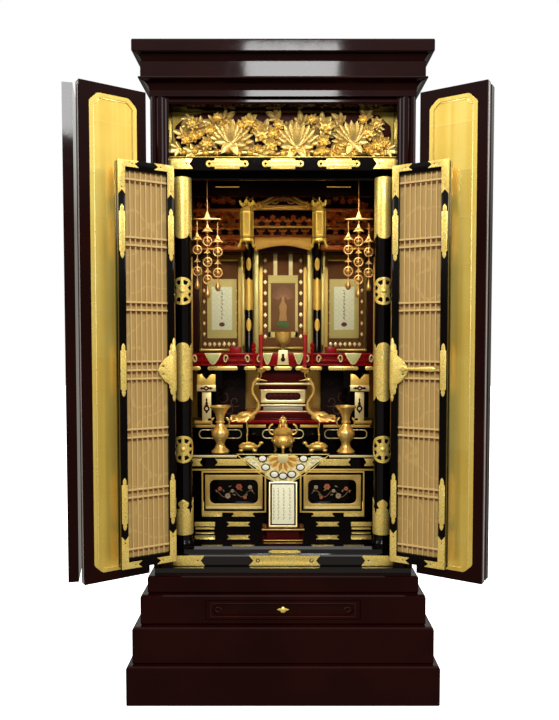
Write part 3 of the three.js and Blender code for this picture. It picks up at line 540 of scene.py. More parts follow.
def wrapped(piece, radius, step=4.0):    # bends a flat plate round an upright pillar at the origin
    low = min(v.co.x for v in piece.data.vertices)
    high = max(v.co.x for v in piece.data.vertices)
    pick(piece)
    bpy.ops.object.mode_set(mode="EDIT")
    for i in range(1, int((high - low) / step)):
        bpy.ops.mesh.select_all(action="SELECT")
        bpy.ops.mesh.bisect(plane_co=(low + i * step, 0, 0), plane_no=(1, 0, 0))
    bpy.ops.object.mode_set(mode="OBJECT")
    for vertex in piece.data.vertices:
        angle, reach = vertex.co.x / radius, radius - vertex.co.y
        vertex.co.x, vertex.co.y = reach * sin(angle), -reach * cos(angle)
    return piece


# the leaves at rest: each is drawn shut, from its pin towards the middle, and turned about the pin
def leafPlaces(side):
    shutEnd, inward = (1, 1) if side == "left" else (0, -1)
    swing = joints[side + "_outer_swing"]["range_deg"][shutEnd]
    fold = joints[side + "_outer_folding"]["range_deg"][shutEnd]
    innerSwing, innerFold = (follows[side + joint] * swing for joint in ("_inner_swing", "_inner_folding"))

    def at(joint, degrees):
        x, y = joints[side + joint]["pos_m"][:2]
        return (Matrix.Translation((x, y, 0)) @ Matrix.Rotation(radians(-degrees), 4, "Z")
                @ Matrix.Diagonal((inward * 0.001, 0.001, 0.001, 1)))
    return {"outer_door": at("_outer_swing", swing), "outer_fold": at("_outer_folding", swing + fold),
            "inner_door": at("_inner_swing", innerSwing),
            "inner_fold": at("_inner_folding", innerSwing + innerFold)}


places = {side: leafPlaces(side) for side in ("left", "right")}
brass, chased = finishes["brass"], finishes["chased_brass"]
black, leafGold = finishes["black_lacquer"], finishes["gold_leaf"]


# brass fittings
def knobBar(length, height):    # a bar between two round ends on stepped necks
    half, knob = length / 2, height * 0.33
    side = [(half - knob * 2.6, height / 2), (half - knob * 2.6, height * 0.3),
            (half - knob * 1.9, height * 0.3)]
    right = side + arc(half - knob, 0, knob, 125, -125, 10) + [(x, -z) for x, z in reversed(side)]
    rim = right + [(-x, -z) for x, z in right]
    return cutPlate([rim] + [arc(s * (half - knob), 0, knob * 0.38, 0, 330, 8) for s in (-1, 1)])


def lance(length, width):    # upright, stepped to narrow tips with pointed ends
    body, neck = length / 2 - width * 1.25, width * 0.34
    tip = [(0, length / 2), (neck * 0.7, length / 2 - width * 0.3), (neck, length / 2 - width * 0.75),
           (neck * 0.8, body + width * 0.2), (width / 2, body), (width / 2, 0)]
    half = tip + [(x, -z) for x, z in reversed(tip[:-1])]
    return cutPlate([evenSides(half)], 1.4, 0.4)


def cornerPlate(across, up, armX, armZ, notch):    # from the corner at 0, 0 to the right and down
    rim = [(0, 0), (across, 0), (across - notch, -armZ / 2), (across, -armZ), (armX, -armZ), (armX, -up),
           (armX / 2, -up + notch), (0, -up)]
    holes = [arc(across - notch - 6, -armZ / 2, 1.4, 0, 330, 6), arc(armX / 2, -up + notch + 6, 1.4, 0, 330, 6)]
    return cutPlate([rim] + holes)


# folding inner doors: frame, brass fittings, lattice over gauze
doorLeaf = {
    "edge": 1.0, "width": 134.0, "thick": 13.0, "stile": 16.5, "head": 22.0, "foot": 24.0,
    "leaves": {    # where the front face lies, and the nodes of frame and screen
        "inner_door": (2.5, "_inner_frame", "_inner_screen"),
        "inner_fold": (-15.5, "_inner_fold_frame", "_inner_fold_screen"),
    },
    "rails": (20, 152, 170, 301, 319, 439, 459, 479, 597, 616, 739, 757, 879), "rail": 4.6, "bars": 7,
    "lances": (0.172, 0.508, 0.838), "lance": (124, 14),
}


def doorKit():
    d = doorLeaf
    low, high = span("left_inner_frame")
    bottom, top = low.z, high.z
    left, right = d["edge"], d["edge"] + d["width"]
    inLeft, inRight = left + d["stile"], right - d["stile"]
    inBottom, inTop = bottom + d["foot"], top - d["head"]
    frame4 = [slab((left, 0, bottom), (inLeft, d["thick"], top), 0.9),
              slab((inRight, 0, bottom), (right, d["thick"], top), 0.9),
              slab((inLeft - 0.5, 0, bottom), (inRight + 0.5, d["thick"], inBottom), 0.9),
              slab((inLeft - 0.5, 0, inTop), (inRight + 0.5, d["thick"], top), 0.9)]
    wood = joined(*frame4)
    corner = cornerPlate(49, 78, d["stile"], 15.5, 10)
    plates = [copied(corner, left, 0, top), copied(corner, right, 0, top, size=(-1, 1, 1)),
              copied(corner, left, 0, bottom, size=(1, 1, -1)),
              copied(corner, right, 0, bottom, size=(-1, 1, -1))]
    for share in d["lances"]:
        z = top - share * (top - bottom)
        for x in (left + d["stile"] / 2, right - d["stile"] / 2):
            plates.append(copied(lanceKit, x, 0, z))
    bpy.data.objects.remove(corner)
    fittings = joined(*plates)
    cloth = slab((inLeft - 0.2, 9.2, inBottom - 0.2), (inRight + 0.2, 10.4, inTop + 0.2))
    wide = (inRight - inLeft) / (d["bars"] + 1)
    sticks = []
    for i in range(1, d["bars"] + 1):
        sticks.append(slab((inLeft + i * wide - 1.4, 5.6, inBottom), (inLeft + i * wide + 1.4, 9.4, inTop), 0.4,
                           1))
    # painted shadow: small dark blocks under each rail, between the bars, stand in for the rails' shadow on the
    # gauze
    beads = []
    for down in d["rails"]:
        z = inTop - down
        sticks.append(slab((inLeft, 3.6, z - d["rail"] / 2), (inRight, 7.0, z + d["rail"] / 2), 0.5, 1))
        for i in range(d["bars"] + 1):
            x = inLeft + (i + 0.5) * wide
            beads.append(slab((x - 3.4, 6.2, z - d["rail"] / 2 - 5.2), (x + 3.4, 9.4, z - d["rail"] / 2), 0.0))
    return {"frame": wood, "fittings": fittings, "gauze": cloth, "lattice": joined(*sticks),
            "beads": joined(*beads)}


lanceKit = lance(*doorLeaf["lance"])
kit = doorKit()
lattice = metalSheet("latticeWood", (0.62, 0.43, 0.17, 1), (0.54, 0.35, 0.12, 1), 0.45, hammer=0.3)
lattice.node_tree.nodes["Principled BSDF"].inputs["Metallic"].default_value = 0.25
# painted shadow: the dark brown of the blocks under the rails
railShadowPaint = lacquer("railShadowPaint", (0.12, 0.035, 0.010, 1), (0.20, 0.07, 0.02, 1), 0.3, 0.1)
for side in ("left", "right"):
    for leaf, (face, frameNode, screenNode) in doorLeaf["leaves"].items():
        body = side + "_" + leaf
        place = places[side][leaf] @ Matrix.Translation((0, face, 0))
        where = {"body": body, "place": place}
        finished(body + "_frame", [copied(kit["frame"])], "black_lacquer", black, [side + frameNode], **where)
        fittings = finished(body + "_fittings", [copied(kit["fittings"])], "brass", chased, **where)
        # the open leaf's free corner is the part's foremost point, and the plates stop there
        for vertex in fittings.data.vertices:
            vertex.co.y = max(vertex.co.y, cadBox[0][1] + 0.00002)
        finished(body + "_lattice", [copied(kit["lattice"])], "door_gauze", lattice, [side + screenNode],
                 **where)
        # the dark blocks under the rails: painted shadow of the rails on the gauze
        finished(body + "_joints", [copied(kit["beads"])], "door_gauze", railShadowPaint, **where)
        finished(body + "_gauze", [copied(kit["gauze"])], "door_gauze", finishes["door_gauze"], **where)
for part in kit.values():
    bpy.data.objects.remove(part)
bpy.data.objects.remove(lanceKit)
print("inner doors")

# brass on the sill and lintel
bars = {"height": 25.0, "lintel": 1308.5, "sill": 330.5, "front": 20.0, "half": 274.0}


def endBar(length, height):    # plain at the post, swallow-tailed towards the middle
    rim = [(0, height / 2), (length, height / 2), (length - 9, 0), (length, -height / 2), (0, -height / 2)]
    return cutPlate([rim, arc(length - 17, 0, 2.0, 0, 330, 8)])


def ringBar(length, height):    # swallow-tailed at both ends, with a ring pierced near each
    half = length / 2
    rim = [(-half, height / 2), (half, height / 2), (half - 11, 0), (half, -height / 2), (-half, -height / 2),
           (-half + 11, 0)]
    rings = [arc(s * (half - 22), 0, r, 0, 345, 14) for s in (-1, 1) for r in (5.2, 3.0)]
    return cutPlate([rim] + rings)


def edgeBrass():
    b = bars
    parts = [moved(knobBar(102, b["height"]), 0, b["front"], b["lintel"])]
    for sign in (-1, 1):
        parts.append(moved(knobBar(104, b["height"]), sign * 136, b["front"], b["lintel"]))
        end = endBar(55, b["height"])
        parts.append(copied(end, sign * -b["half"], b["front"], b["lintel"], size=(sign, 1, 1)))
        bpy.data.objects.remove(end)
        end = endBar(78, b["height"])
        parts.append(copied(end, sign * -b["half"], b["front"], b["sill"], size=(sign, 1, 1)))
        bpy.data.objects.remove(end)
    parts.append(moved(ringBar(178, b["height"]), 4, b["front"], b["sill"]))
    parts.append(moved(knobBar(80, 8), 4, b["front"] + 14, b["sill"] + 18))
    parts.append(slab((-b["half"], b["front"] - 0.8, 1324), (b["half"], b["front"] + 3, 1326), 0.5))
    finished("edge_brass", parts, "brass", chased)


edgeBrass()

# the two columns: a smooth shaft, with chased plates wrapped round it
columns = {"radius": 20.0, "wrap": 20.6, "around": 112.0,
           "sleeves": ((1127, 1278.4, 0, 14), (727, 875, 14, 14)), "discs": (1000.5, 609.0), "disc": 34.0,
           "cap": (394, 484)}


def scallops(width, depth, count, tongue):    # tongues along an edge, from left to right
    line = []
    for i in range(count):
        middle = -width / 2 + (i + 0.5) * tongue
        line += [(middle + x, z) for x, z in reversed(arc(0, 0, tongue / 2 * 0.94, 0, 180, 8,
                                                          2 * depth / tongue))]
    return line


def sleeve(low, high, upper, lower):
    c = columns
    top = scallops(c["around"], upper, 3, c["around"] / 3) if upper else [(-56, 0), (56, 0)]
    bottom = scallops(c["around"], lower, 3, c["around"] / 3)
    rim = [(x, high - upper + z) for x, z in top] + [(x, low + lower - z) for x, z in reversed(bottom)]
    return cutPlate([rim], 1.4, 0.3)


def openDisc(radius):    # a pierced roundel with a flower in the middle
    rim = arc(0, 0, radius, 0, 352.5, 48)
    holes = []
    for i in range(8):
        turn = i * 45
        holes.append(arc(0, 0, radius * 0.80, turn + 8, turn + 37, 4)
                     + arc(0, 0, radius * 0.50, turn + 33, turn + 12, 3))
    return cutPlate([rim] + holes, 1.6, 0.35)


def capPlate(low, high):    # the foot's cap: flame tips with a round head in the middle
    third = columns["around"] / 3
    flame = [(-0.5, 0), (-0.42, 0.16), (-0.40, 0.32), (-0.22, 0.42), (-0.34, 0.56), (-0.36, 0.74), (-0.18, 0.9),
             (0, 1.0), (0.18, 0.9), (0.36, 0.74), (0.34, 0.56), (0.22, 0.42), (0.40, 0.32), (0.42, 0.16)]
    rise = (high - low) * 0.42
    top = [(-columns["around"] / 2 + (i + 0.5 + x) * third, high - rise + z * rise)
           for i in range(3) for x, z in flame] + [(columns["around"] / 2, high - rise)]
    return cutPlate([top + [(columns["around"] / 2, low), (-columns["around"] / 2, low)]], 1.4, 0.3)


def makeColumn(sign):
    c = columns
    x, y, foot, top = middle("left_column")
    x *= -sign
    name = "left" if sign < 0 else "right"
    profile = [(0, foot), (24, foot), (24, foot + 4), (23, foot + 7), (24, foot + 13), (22, foot + 17),
               (c["radius"], foot + 20), (c["radius"], top), (0, top)]
    shaft = turned(profile, x, y, 0, 40)
    finished(name + "_column_shaft", [shaft], "black_lacquer", black, [name + "_column"])
    plates = [wrapped(sleeve(*values), c["wrap"]) for values in c["sleeves"]]
    plates += [moved(wrapped(openDisc(c["disc"]), c["wrap"]), 0, 0, z) for z in c["discs"]]
    plates.append(wrapped(capPlate(*c["cap"]), c["wrap"]))
    for z in c["discs"]:
        plates.append(moved(turned([(0, 3), (3, 2.6), (6, 1), (7, 0), (0, 0)], sides=12), 0, -c["wrap"] - 1, z,
                            90, "X"))
    finished(name + "_column_brass", [moved(joined(*plates), x, y, 0)], "brass", chased)


for sign in (-1, 1):
    makeColumn(sign)
print("columns and edge brass")


# lock plates on the free stiles, with a lever on the right one
def lockPlate():
    half = [(0, 36), (8, 36.5), (16, 34), (22, 29), (26, 27), (31, 20), (38, 12), (41, 5), (44, 0)]
    rim = [(-x, z) for x, z in half] + [(-x, -z) for x, z in reversed(half[:-1])] + [(0, -36)]
    plate = cutPlate([rim, arc(-30, 9, 2.4, 0, 330, 8), arc(-30, -10, 2.4, 0, 330, 8)], 2.2, 0.5)
    edge = [(0, -77), (2.4, -74), (4.6, -66), (3.2, -58), (4.4, -56), (6, -45), (6.4, -36), (6.4, 36), (6, 45),
            (4.4, 56), (3.2, 58), (4.6, 66), (2.4, 74), (0, 77)]
    post = turned(edge, -2, 1.2, 0, 16)
    post.data.transform(Matrix.Diagonal((1, 0.55, 1, 1)))
    return joined(plate, post)


def lever():
    flatness = 0.34
    grip = turned([(0, 0), (3.5, 0.5), (4.2, 6), (3.0, 14), (3.6, 40), (5.2, 64), (6.2, 78), (4.5, 84),
                   (0, 86)], sides=14)
    boss = turned([(0, 16), (5, 15), (6.5, 11), (6.5, 3), (9, 0), (0, 0)], sides=16)
    moved(grip, 0, 0, 0, -90, "Y")
    made = joined(moved(grip, 8, -12, 0), moved(boss, 0, 0, 0, 90, "X"))
    made.data.transform(Matrix.Diagonal((1, flatness, 1, 1)))
    return made


lockSpots = {"plate": (134.5, 0.9, 809), "lever": (104, 2.6, 812)}    # along the leaf, proud of it, and height
foldFace = doorLeaf["leaves"]["inner_fold"][0]
spots = {kind: Matrix.Translation((x, foldFace - proud, z)) for kind, (x, proud, z) in lockSpots.items()}
plate = lockPlate()
for side in ("left", "right"):
    finished(side + "_lock_plate", [copied(plate)], "brass", chased, body=side + "_inner_fold",
             place=places[side]["inner_fold"] @ spots["plate"])
bpy.data.objects.remove(plate)
finished("right_lever", [lever()], "brass", brass, body="right_inner_fold",
         place=places["right"]["inner_fold"] @ spots["lever"])
print("lock plates")


# carved transom
carving = {"front": 31.0, "ground": 56.0}
# painted shade: the carved flowers darken towards the ground, between near and far along Y
carvedGold = gilding("carvedGold", (0.96, 0.72, 0.24, 1), (0.12, 0.03, 0.006, 1), near=caseFront + 0.035,
                     far=caseFront + 0.055)
# painted shade: a dark board behind the flowers stands in for the shade in the gaps between them
carvedShade = lacquer("carvedShade", (0.022, 0.003, 0.002, 1), (0.045, 0.006, 0.003, 1), 0.35)


def petal(length, width, lift, tip=0.62, curl=0.0, cup=0.22):
    # one petal along +x, lying in x and z; it rises towards -y and its middle is hollowed
    bpy.ops.mesh.primitive_grid_add(x_subdivisions=6, y_subdivisions=4, size=2)
    made = bpy.context.object
    for vertex in made.data.vertices:
        along, side = (vertex.co.x + 1) / 2, vertex.co.y
        broad = width / 2 * (sin(pi * min(1, along ** 0.8 * 0.98 + 0.02)) ** tip if along < 1 else 0.04)
        hollow = cup * width * (side * side - 0.4) * sin(pi * along)
        rise = lift * sin(pi / 2 * along) - curl * along ** 3
        vertex.co = (along * length, -rise - hollow, side * broad)
    modify(made, "SOLIDIFY", thickness=1.6, offset=0)
    return made


def flowerHead(petals, length, width, rows, lift):
    parts = []
    base = petal(length, width, lift, 0.75)
    for row in range(rows):
        size = 1 - row * 0.25
        for i in range(petals):
            turn = 360 / petals * (i + row * 0.5)
            parts.append(copied(base, 0, -row * lift * 0.28, 0, turn, "Y", (size, 1, size)))
    bpy.data.objects.remove(base)
    heart = turned([(0, 5), (3, 4.4), (5.4, 2), (6, 0), (0, 0)], sides=10)
    parts.append(moved(heart, 0, -lift * 0.6, 0, 90, "X"))
    return joined(*parts)


def fanFlower():    # a great bloom seen from the side: petals fan upwards in three tiers
    parts = []
    tiers = ((58, 11, 8, 172, 0), (45, 9, 18, 162, -6), (31, 7, 30, 150, -11))
    for tier, (length, count, low, high, y) in enumerate(tiers):
        base = petal(length, 17 - tier * 2, 10, 0.55)
        for i in range(count):
            parts.append(copied(base, 0, y, 0, -(low + (high - low) * i / (count - 1)), "Y"))
        bpy.data.objects.remove(base)
    base = petal(40, 20, 8, 0.6)
    parts += [copied(base, 0, -9, 2, turn, "Y") for turn in (12, 60, 120, 168)]
    bpy.data.objects.remove(base)
    return joined(*parts)


def leafSpray():    # a lobed leaf with a raised rib
    parts = []
    base = petal(30, 13, 7, 0.5)
    for turn, size in ((0, 1.15), (38, 0.85), (-38, 0.85), (75, 0.6), (-75, 0.6)):
        parts.append(copied(base, 0, -abs(turn) * 0.03, 0, turn, "Y", (size, 1, size)))
    bpy.data.objects.remove(base)
    return joined(*parts)


def transom():
    c = carving
    ground = slab((-274.4, c["ground"], 1326.6), (274.4, c["ground"] + 7.6, 1443.8), 0.4)
    finished("transom_ground", [ground], "gold_leaf", leafGold, ["transom_carving"])
    half = [(0, 1441), (196, 1441), (214, 1436), (236, 1436), (252, 1420), (266, 1408), (268, 1384),
            (262, 1362), (256, 1344), (242, 1333), (226, 1330), (0, 1330)]
    # the dark board: painted shade between the carved flowers
    board = cutPlate([evenSides(half)], 7, 1.5)
    finished("transom_shade_board", [moved(board, 0, c["ground"], 0)], "gilded_carving", carvedShade)
    great, star, small, spray = (fanFlower(), flowerHead(6, 22, 13, 2, 10), flowerHead(8, 15, 8, 2, 8),
                                 leafSpray())
    y = c["ground"] - 8
    parts = [copied(great, x, y, z, turn, "Y", (size, 1, size)) for x, z, turn, size in
             ((-128, 1366, 6, 0.98), (34, 1358, 0, 1.02), (172, 1366, -5, 0.92))]
    for x, z, size, turn in ((-52, 1384, 1.1, 10), (-30, 1358, 0.95, 40), (104, 1404, 1.15, 0),
                             (98, 1368, 0.9, 20), (208, 1388, 1.0, 15), (-186, 1362, 0.9, 0),
                             (-84, 1414, 0.95, 30), (232, 1358, 0.9, 50), (-236, 1372, 0.8, 20),
                             (140, 1354, 0.7, 10)):
        parts.append(copied(star, x, y - 5, z, turn, "Y", (size, 1, size)))
    for x, z, size in ((-222, 1412, 1.2), (230, 1410, 1.2), (-10, 1408, 1.0), (70, 1420, 0.9),
                       (-160, 1425, 0.9), (-62, 1350, 0.8), (196, 1420, 0.9), (-204, 1384, 0.8),
                       (0, 1378, 0.8)):
        parts.append(copied(small, x, y - 4, z, 0, "Y", (size, 1, size)))
    turns = (200, 30, 150, 320, 80, 250, 10, 170, 290, 120, 340, 60, 220, 100, 270, 20, 190, 310, 140, 45, 230)
    for i, turn in enumerate(turns):
        x = -240 + i * 24
        z = 1384 + 30 * sin(i * 2.4)
        parts.append(copied(spray, x, y + 1, z, turn, "Y", (0.95, 1, 0.95)))
    for x, z, turn in ((-252, 1352, 160), (252, 1350, 20), (-214, 1340, 200), (214, 1342, -20),
                       (-100, 1346, 190), (118, 1342, 10), (0, 1342, 30), (60, 1344, 150), (-60, 1338, -10),
                       (160, 1340, 170)):
        parts.append(copied(spray, x, y - 6, z, turn, "Y"))
    for i in range(26):    # more leaves and buds between the blooms
        x, turn = -244 + i * 19.5, (i * 137) % 360
        parts.append(copied(spray, x, y + 3, 1402 + 24 * sin(i * 1.7), turn, "Y", (1.05, 0.9, 1.05)))
        if i % 2:
            parts.append(copied(star, x + 6, y - 2, 1372 + 34 * sin(i * 2.9), turn, "Y", (0.78, 1, 0.78)))
    for i in range(19):
        parts.append(copied(small, -243 + i * 27, y - 8, 1341 + 3 * sin(i * 2.0), 0, "Y", (0.62, 0.8, 0.62)))
    parts.append(slab((-244, c["front"] + 14, 1328), (244, c["ground"], 1333), 2.4))
    wave = [(x, y - 4 - 3 * sin(x * 0.05), 1340 + 5 * sin(x * 0.033)) for x in range(-236, 240, 12)]
    parts.append(tube(wave, 6.5, 8))
    for sign in (-1, 1):
        parts.append(tube(spiral(sign, 232, y - 4, 1408, 17, 9), 3.0, 6))
        bough = [(sign * x, y - 8, 1392 + 26 * sin((x - 20) * 0.022)) for x in range(20, 100, 10)]
        parts.append(tube(bough, 3.2, 6))
    for piece in (great, star, small, spray):
        bpy.data.objects.remove(piece)
    finished("transom_flowers", parts, "gilded_carving", carvedGold, sharp=50)


transom()
print("carved transom")

# gold walls of the altar room
paleGold = metalSheet("paleGold", (0.98, 0.83, 0.42, 1), (0.90, 0.68, 0.24, 1), 0.34, hammer=0.5)
richGold = metalSheet("richGold", (0.94, 0.62, 0.13, 1), (0.78, 0.44, 0.07, 1), 0.30, hammer=0.6)
# painted shade: the shrine's gilded carving is coloured as gold in shadow, a dark red-brown, and darker further
# back along Y
shadedGold = gilding("shadedGold", (0.66, 0.13, 0.018, 1), (0.10, 0.006, 0.003, 1), caseFront + 0.30,
                  caseFront + 0.47, 0.35)
deepRed = lacquer("deepRed", (0.035, 0.0012, 0.0014, 1), (0.065, 0.003, 0.003, 1), 0.2)
leafGreen = lacquer("paleGreen", (0.42, 0.45, 0.18, 1), (0.55, 0.55, 0.26, 1), 0.4)
umber = lacquer("umber", (0.022, 0.004, 0.002, 1), (0.04, 0.008, 0.004, 1), 0.35)


def plates(name, shapes, y, slotName, finish, thick=1.6):    # several flat outlines on one plane
    made = [moved(cutPlate([shape] if isinstance(shape[0], tuple) else shape, thick, min(0.35, thick / 3)), 0,
                  y, 0) for shape in shapes]
    return finished(name, made, slotName, finish)


def box(x, z, halfWide, halfTall, cut=0.0):    # an outline; cut takes off the corners
    a, b, c = halfWide, halfTall, cut
    if not c:
        return [(x - a, z + b), (x + a, z + b), (x + a, z - b), (x - a, z - b)]
    return [(x - a + c, z + b), (x + a - c, z + b), (x + a, z + b - c), (x + a, z - b + c), (x + a - c, z - b),
            (x - a + c, z - b), (x - a, z - b + c), (x - a, z + b - c)]


def round4(x, z, halfWide, halfTall, radius):
    a, b, r = halfWide - radius, halfTall - radius, radius
    return (arc(x + a, z + b, r, 0, 90, 5) + arc(x - a, z + b, r, 90, 180, 5)
            + arc(x - a, z - b, r, 180, 270, 5) + arc(x + a, z - b, r, 270, 360, 5))


def flipped(shape):
    return [(-x, z) for x, z in reversed(shape)]


def bothSides(shapes):
    return [s for shape in shapes for s in (shape, flipped(shape))]


room = {"half": 299.5, "front": 66, "rear": 498, "foot": 361, "top": 1325}


def altarRoom():
    half, front, rear, foot, top = room.values()
    # painted shade: the room's walls get a dimmer, browner gold than the leaf outside, and gilding() also
    # darkens them along Y
    wallGold = gilding("wallGold", (0.70, 0.42, 0.09, 1), (0.16, 0.06, 0.02, 1), 0.4, 0.9, 0.34)
    back = slab((-half + 0.1, rear + 0.2, foot), (half - 0.1, rear + 1.6, top), 0.2)
    sides = [slab((sign * half, front, foot), (sign * (half - 1.1), rear, top), 0.2) for sign in (-1, 1)]
    finished("room_gold", [back] + sides, "gold_leaf", wallGold)
    jambs = [slab((sign * 298, 470, 806), (sign * 262, 497, 1150), 1) for sign in (-1, 1)]
    finished("room_jambs", jambs, "black_lacquer", umber)
    lines = [slab((sign * 286, 467.8, 820), (sign * 281, 470.4, 1140), 0.5) for sign in (-1, 1)]
    finished("jamb_lines", lines, "brass", richGold)


altarRoom()


# the shrine: pillars, bracket rows, beams and a curved gable
def bracketRow(left, right, count, z, y, size):    # boat-shaped arms on square blocks
    parts = []
    block = slab((-size * 0.45, y, z), (size * 0.45, y + 30, z + size * 0.5), 0.8, 1)
    cube = slab((-2.6, y - size * 0.72, z + size * 1.1), (2.6, y + 4, z + size * 1.36), 0.4, 1)
    for i in range(count):
        x = left + (right - left) * i / (count - 1)
        parts.append(copied(block, x))
        boat = evenSides([(size, 1), (size, 0.72), (size * 0.8, 0.4), (size * 0.45, 0.12), (0, 0)])
        arm = cutPlate([[(px, pz * size * 0.6) for px, pz in boat]], size * 0.7, 1.0)
        parts.append(moved(arm, x, y, z + size * 0.5))
        parts += [copied(cube, x + sign * size * 0.8) for sign in (-1, 0, 1)]
    bpy.data.objects.remove(block)
    bpy.data.objects.remove(cube)
    return parts


pillar = {"out": 102, "y": 390, "foot": 806, "top": 1172, "radius": 12, "wrap": 12.4, "ovals": (1107, 927),
          "oval": (7.5, 19), "band": 1017}


def shrine():
    p, pillars = pillar, []
    foot, top, radius = p["foot"], p["top"], p["radius"]
    for sign in (-1, 1):
        profile = [(0, foot), (17, foot), (17, foot + 5), (14, foot + 9), (16, foot + 14), (radius, foot + 20),
                   (radius, top), (0, top)]
        pillars.append(turned(profile, sign * p["out"], p["y"], 0, 28))
    finished("shrine_pillars", pillars, "black_lacquer", black, ["shrine"])
    bands, (wide, tall) = [], p["oval"]
    for sign in (-1, 1):
        for z in p["ovals"]:
            bands.append(moved(wrapped(cutPlate([arc(0, 0, wide, 0, 348, 24, tall / wide)], 1.2), p["wrap"], 3),
                               sign * p["out"], p["y"], z))
        band = cutPlate([evenSides([(0, 50), (6, 44), (19, 48), (19, -48), (6, -44), (0, -50)])], 1.2)
        bands.append(moved(wrapped(band, p["wrap"], 3), sign * p["out"], p["y"], p["band"]))
    finished("pillar_bands", bands, "brass", richGold)
    strips = []
    for sign in (-1, 1):
        for out, near, front, rear, low, high in ((123, 115.5, 392, 400, 866, 1080),
                                                  (88, 74, 412, 470, 820, 1160),
                                                  (128, 121, 428, 470, 820, 1160)):
            strips.append(slab((sign * out, front, low), (sign * near, rear, high), 0.8))
    reveal = metalSheet("reveal", (0.62, 0.52, 0.17, 1), (0.46, 0.36, 0.10, 1), 0.4)
    finished("pillar_reveals", strips, "gold_leaf", reveal)
    dim = []
    for row in ((-250, -130, 6, 1232, 400, 13), (130, 250, 6, 1232, 400, 13), (-258, -122, 5, 1196, 372, 15),
                (122, 258, 5, 1196, 372, 15), (-78, 78, 6, 1218, 362, 14), (-66, 66, 5, 1194, 380, 12)):
        dim += bracketRow(*row)
    for sign in (-1, 1):
        for out, near, front, low, high in ((262, 96, 384, 1150, 1166), (262, 96, 376, 1178, 1194),
                                            (262, 106, 372, 1218, 1228), (264, 110, 352, 1256, 1266)):
            dim.append(slab((sign * out, front, low), (sign * near, 428, high), 1.2))
        for i in range(5):
            x = sign * (134 + i * 28)
            fret = [round4(x, 1172, 10, 4.5, 3), round4(x, 1172, 6.5, 2, 1.5)]
            dim.append(moved(cutPlate(fret, 2.5, 0.4), 0, 384, 0))
    dim.append(slab((-96, 380, 1184), (96, 420, 1194), 1.2))
    finished("shrine_brackets", dim, "gilded_carving", shadedGold)
    beams = [slab((-100, 330, 1258), (100, 344, 1272), 1.5), slab((-104, 352, 1210), (104, 366, 1216), 1.0)]
    for sign in (-1, 1):
        beams.append(slab((sign * 250, 366, 1148), (sign * 186, 374, 1153), 0.8))
        beams.append(slab((sign * 262, 362, 1208), (sign * 110, 368, 1211), 0.8))
    swag = [(x, 1166 + 16 * cos(x / 84 * pi / 2) - 8) for x in range(-84, 85, 8)]
    swag = [(-84, 1186), (84, 1186)] + [(x, z - 12) for x, z in reversed(swag)]
    beams.append(moved(cutPlate([swag], 6, 1), 0, 384, 0))
    for sign in (-1, 1):
        for lift, size in ((0, 3.4), (-11, 2.2)):
            line = ((108, 1290), (98, 1295), (86, 1303), (72, 1315), (58, 1324), (43, 1328))
            beams.append(tube([(sign * x, 326, z + lift) for x, z in line], size, 8))
    for lift, reach in ((0, 96), (14, 84)):
        bow = [(x, 338 - lift, 1262 + lift * 0.7 + 30 * (cos(x / reach * pi) + 1) / 2)
               for x in range(-reach, reach + 1, 8)]
        beams.append(tube(bow, 4.0, 8))
    crest = flowerHead(6, 15, 9, 2, 7)
    beams.append(moved(crest, 0, 326, 1292))
    for sign in (-1, 1):
        beams.append(copied(crest, sign * 66, 0, -24, 0, "Y", (0.8, 1, 1)))
        curl = [(sign * (26 + 14 * sin(t)), 326, 1290 + 10 * cos(t) - t * 1.5)
                for t in [i * 0.6 for i in range(11)]]
        beams.append(tube(curl, 2.0, 6))
    # painted shade: a dim, brownish gold for the gable, which lies in the shrine's shadow
    beamGold = metalSheet("beamGold", (0.66, 0.38, 0.07, 1), (0.46, 0.20, 0.03, 1), 0.34)
    finished("shrine_gable", beams, "gilded_carving", beamGold)
    head = slab((-262, 430, 1150), (262, 497, 1325), 1)
    plum = lacquer("plum", (0.020, 0.004, 0.006, 1), (0.05, 0.008, 0.008, 1), 0.4)
    finished("shrine_head", [head], "black_lacquer", plum)


shrine()


# carved sprays and buds that fill the bays over the side scrolls
def bayCarving():
    bud, spray, parts = flowerHead(6, 11, 7, 2, 5), leafSpray(), []
    for sign in (-1, 1):
        for i in range(9):
            x, turn = sign * (134 + i * 14), (i * 101) % 360
            parts.append(copied(bud, x, 356 + 4 * sin(i), 1243 + 11 * sin(i * 1.9), turn, "Y"))
            parts.append(copied(spray, x, 362, 1240 + 10 * cos(i * 2.3), turn, "Y", (0.62, 0.8, 0.62)))
            if i % 2:
                parts.append(copied(bud, x, 366, 1172, turn, "Y", (0.7, 0.8, 0.7)))
        for i in range(7):
            parts.append(copied(spray, sign * (140 + i * 17), 358, 1284 + 5 * sin(i * 2), 180 + i * 47, "Y",
                                (0.6, 0.8, 0.5)))
    for i in range(5):
        parts.append(copied(bud, -60 + i * 30, 352, 1236 + 3 * (i % 2), i * 30, "Y", (0.8, 0.8, 0.8)))
    for piece in (bud, spray):
        bpy.data.objects.remove(piece)
    finished("bay_carving", parts, "gilded_carving", shadedGold, sharp=50)


bayCarving()
print("shrine")


# hanging scrolls: all lie on one plane in front of the back board
# cloths: foot, head and half width, then foot, head and half width of the mount on it
hangings = {"plane": 478.0, "out": 191, "clothOut": 197, "side": (846, 1134, 56, 892, 1072, 42),
            "centre": (0, 852, 1188, 64, 884, 1160, 46)}


def lozenges(left, right, low, high, wide, tall):
    shapes = []
    z, row = low + tall / 2, 0
    while z < high - tall / 2 + 0.1:
        x = left + wide / 2 + (row % 2) * wide / 2
        while x < right - wide / 2 + 0.1:
            shapes.append([(x - wide * 0.40, z), (x, z + tall * 0.42), (x + wide * 0.40, z),
                           (x, z - tall * 0.42)])
            x += wide
        z += tall
        row += 1
    return shapes


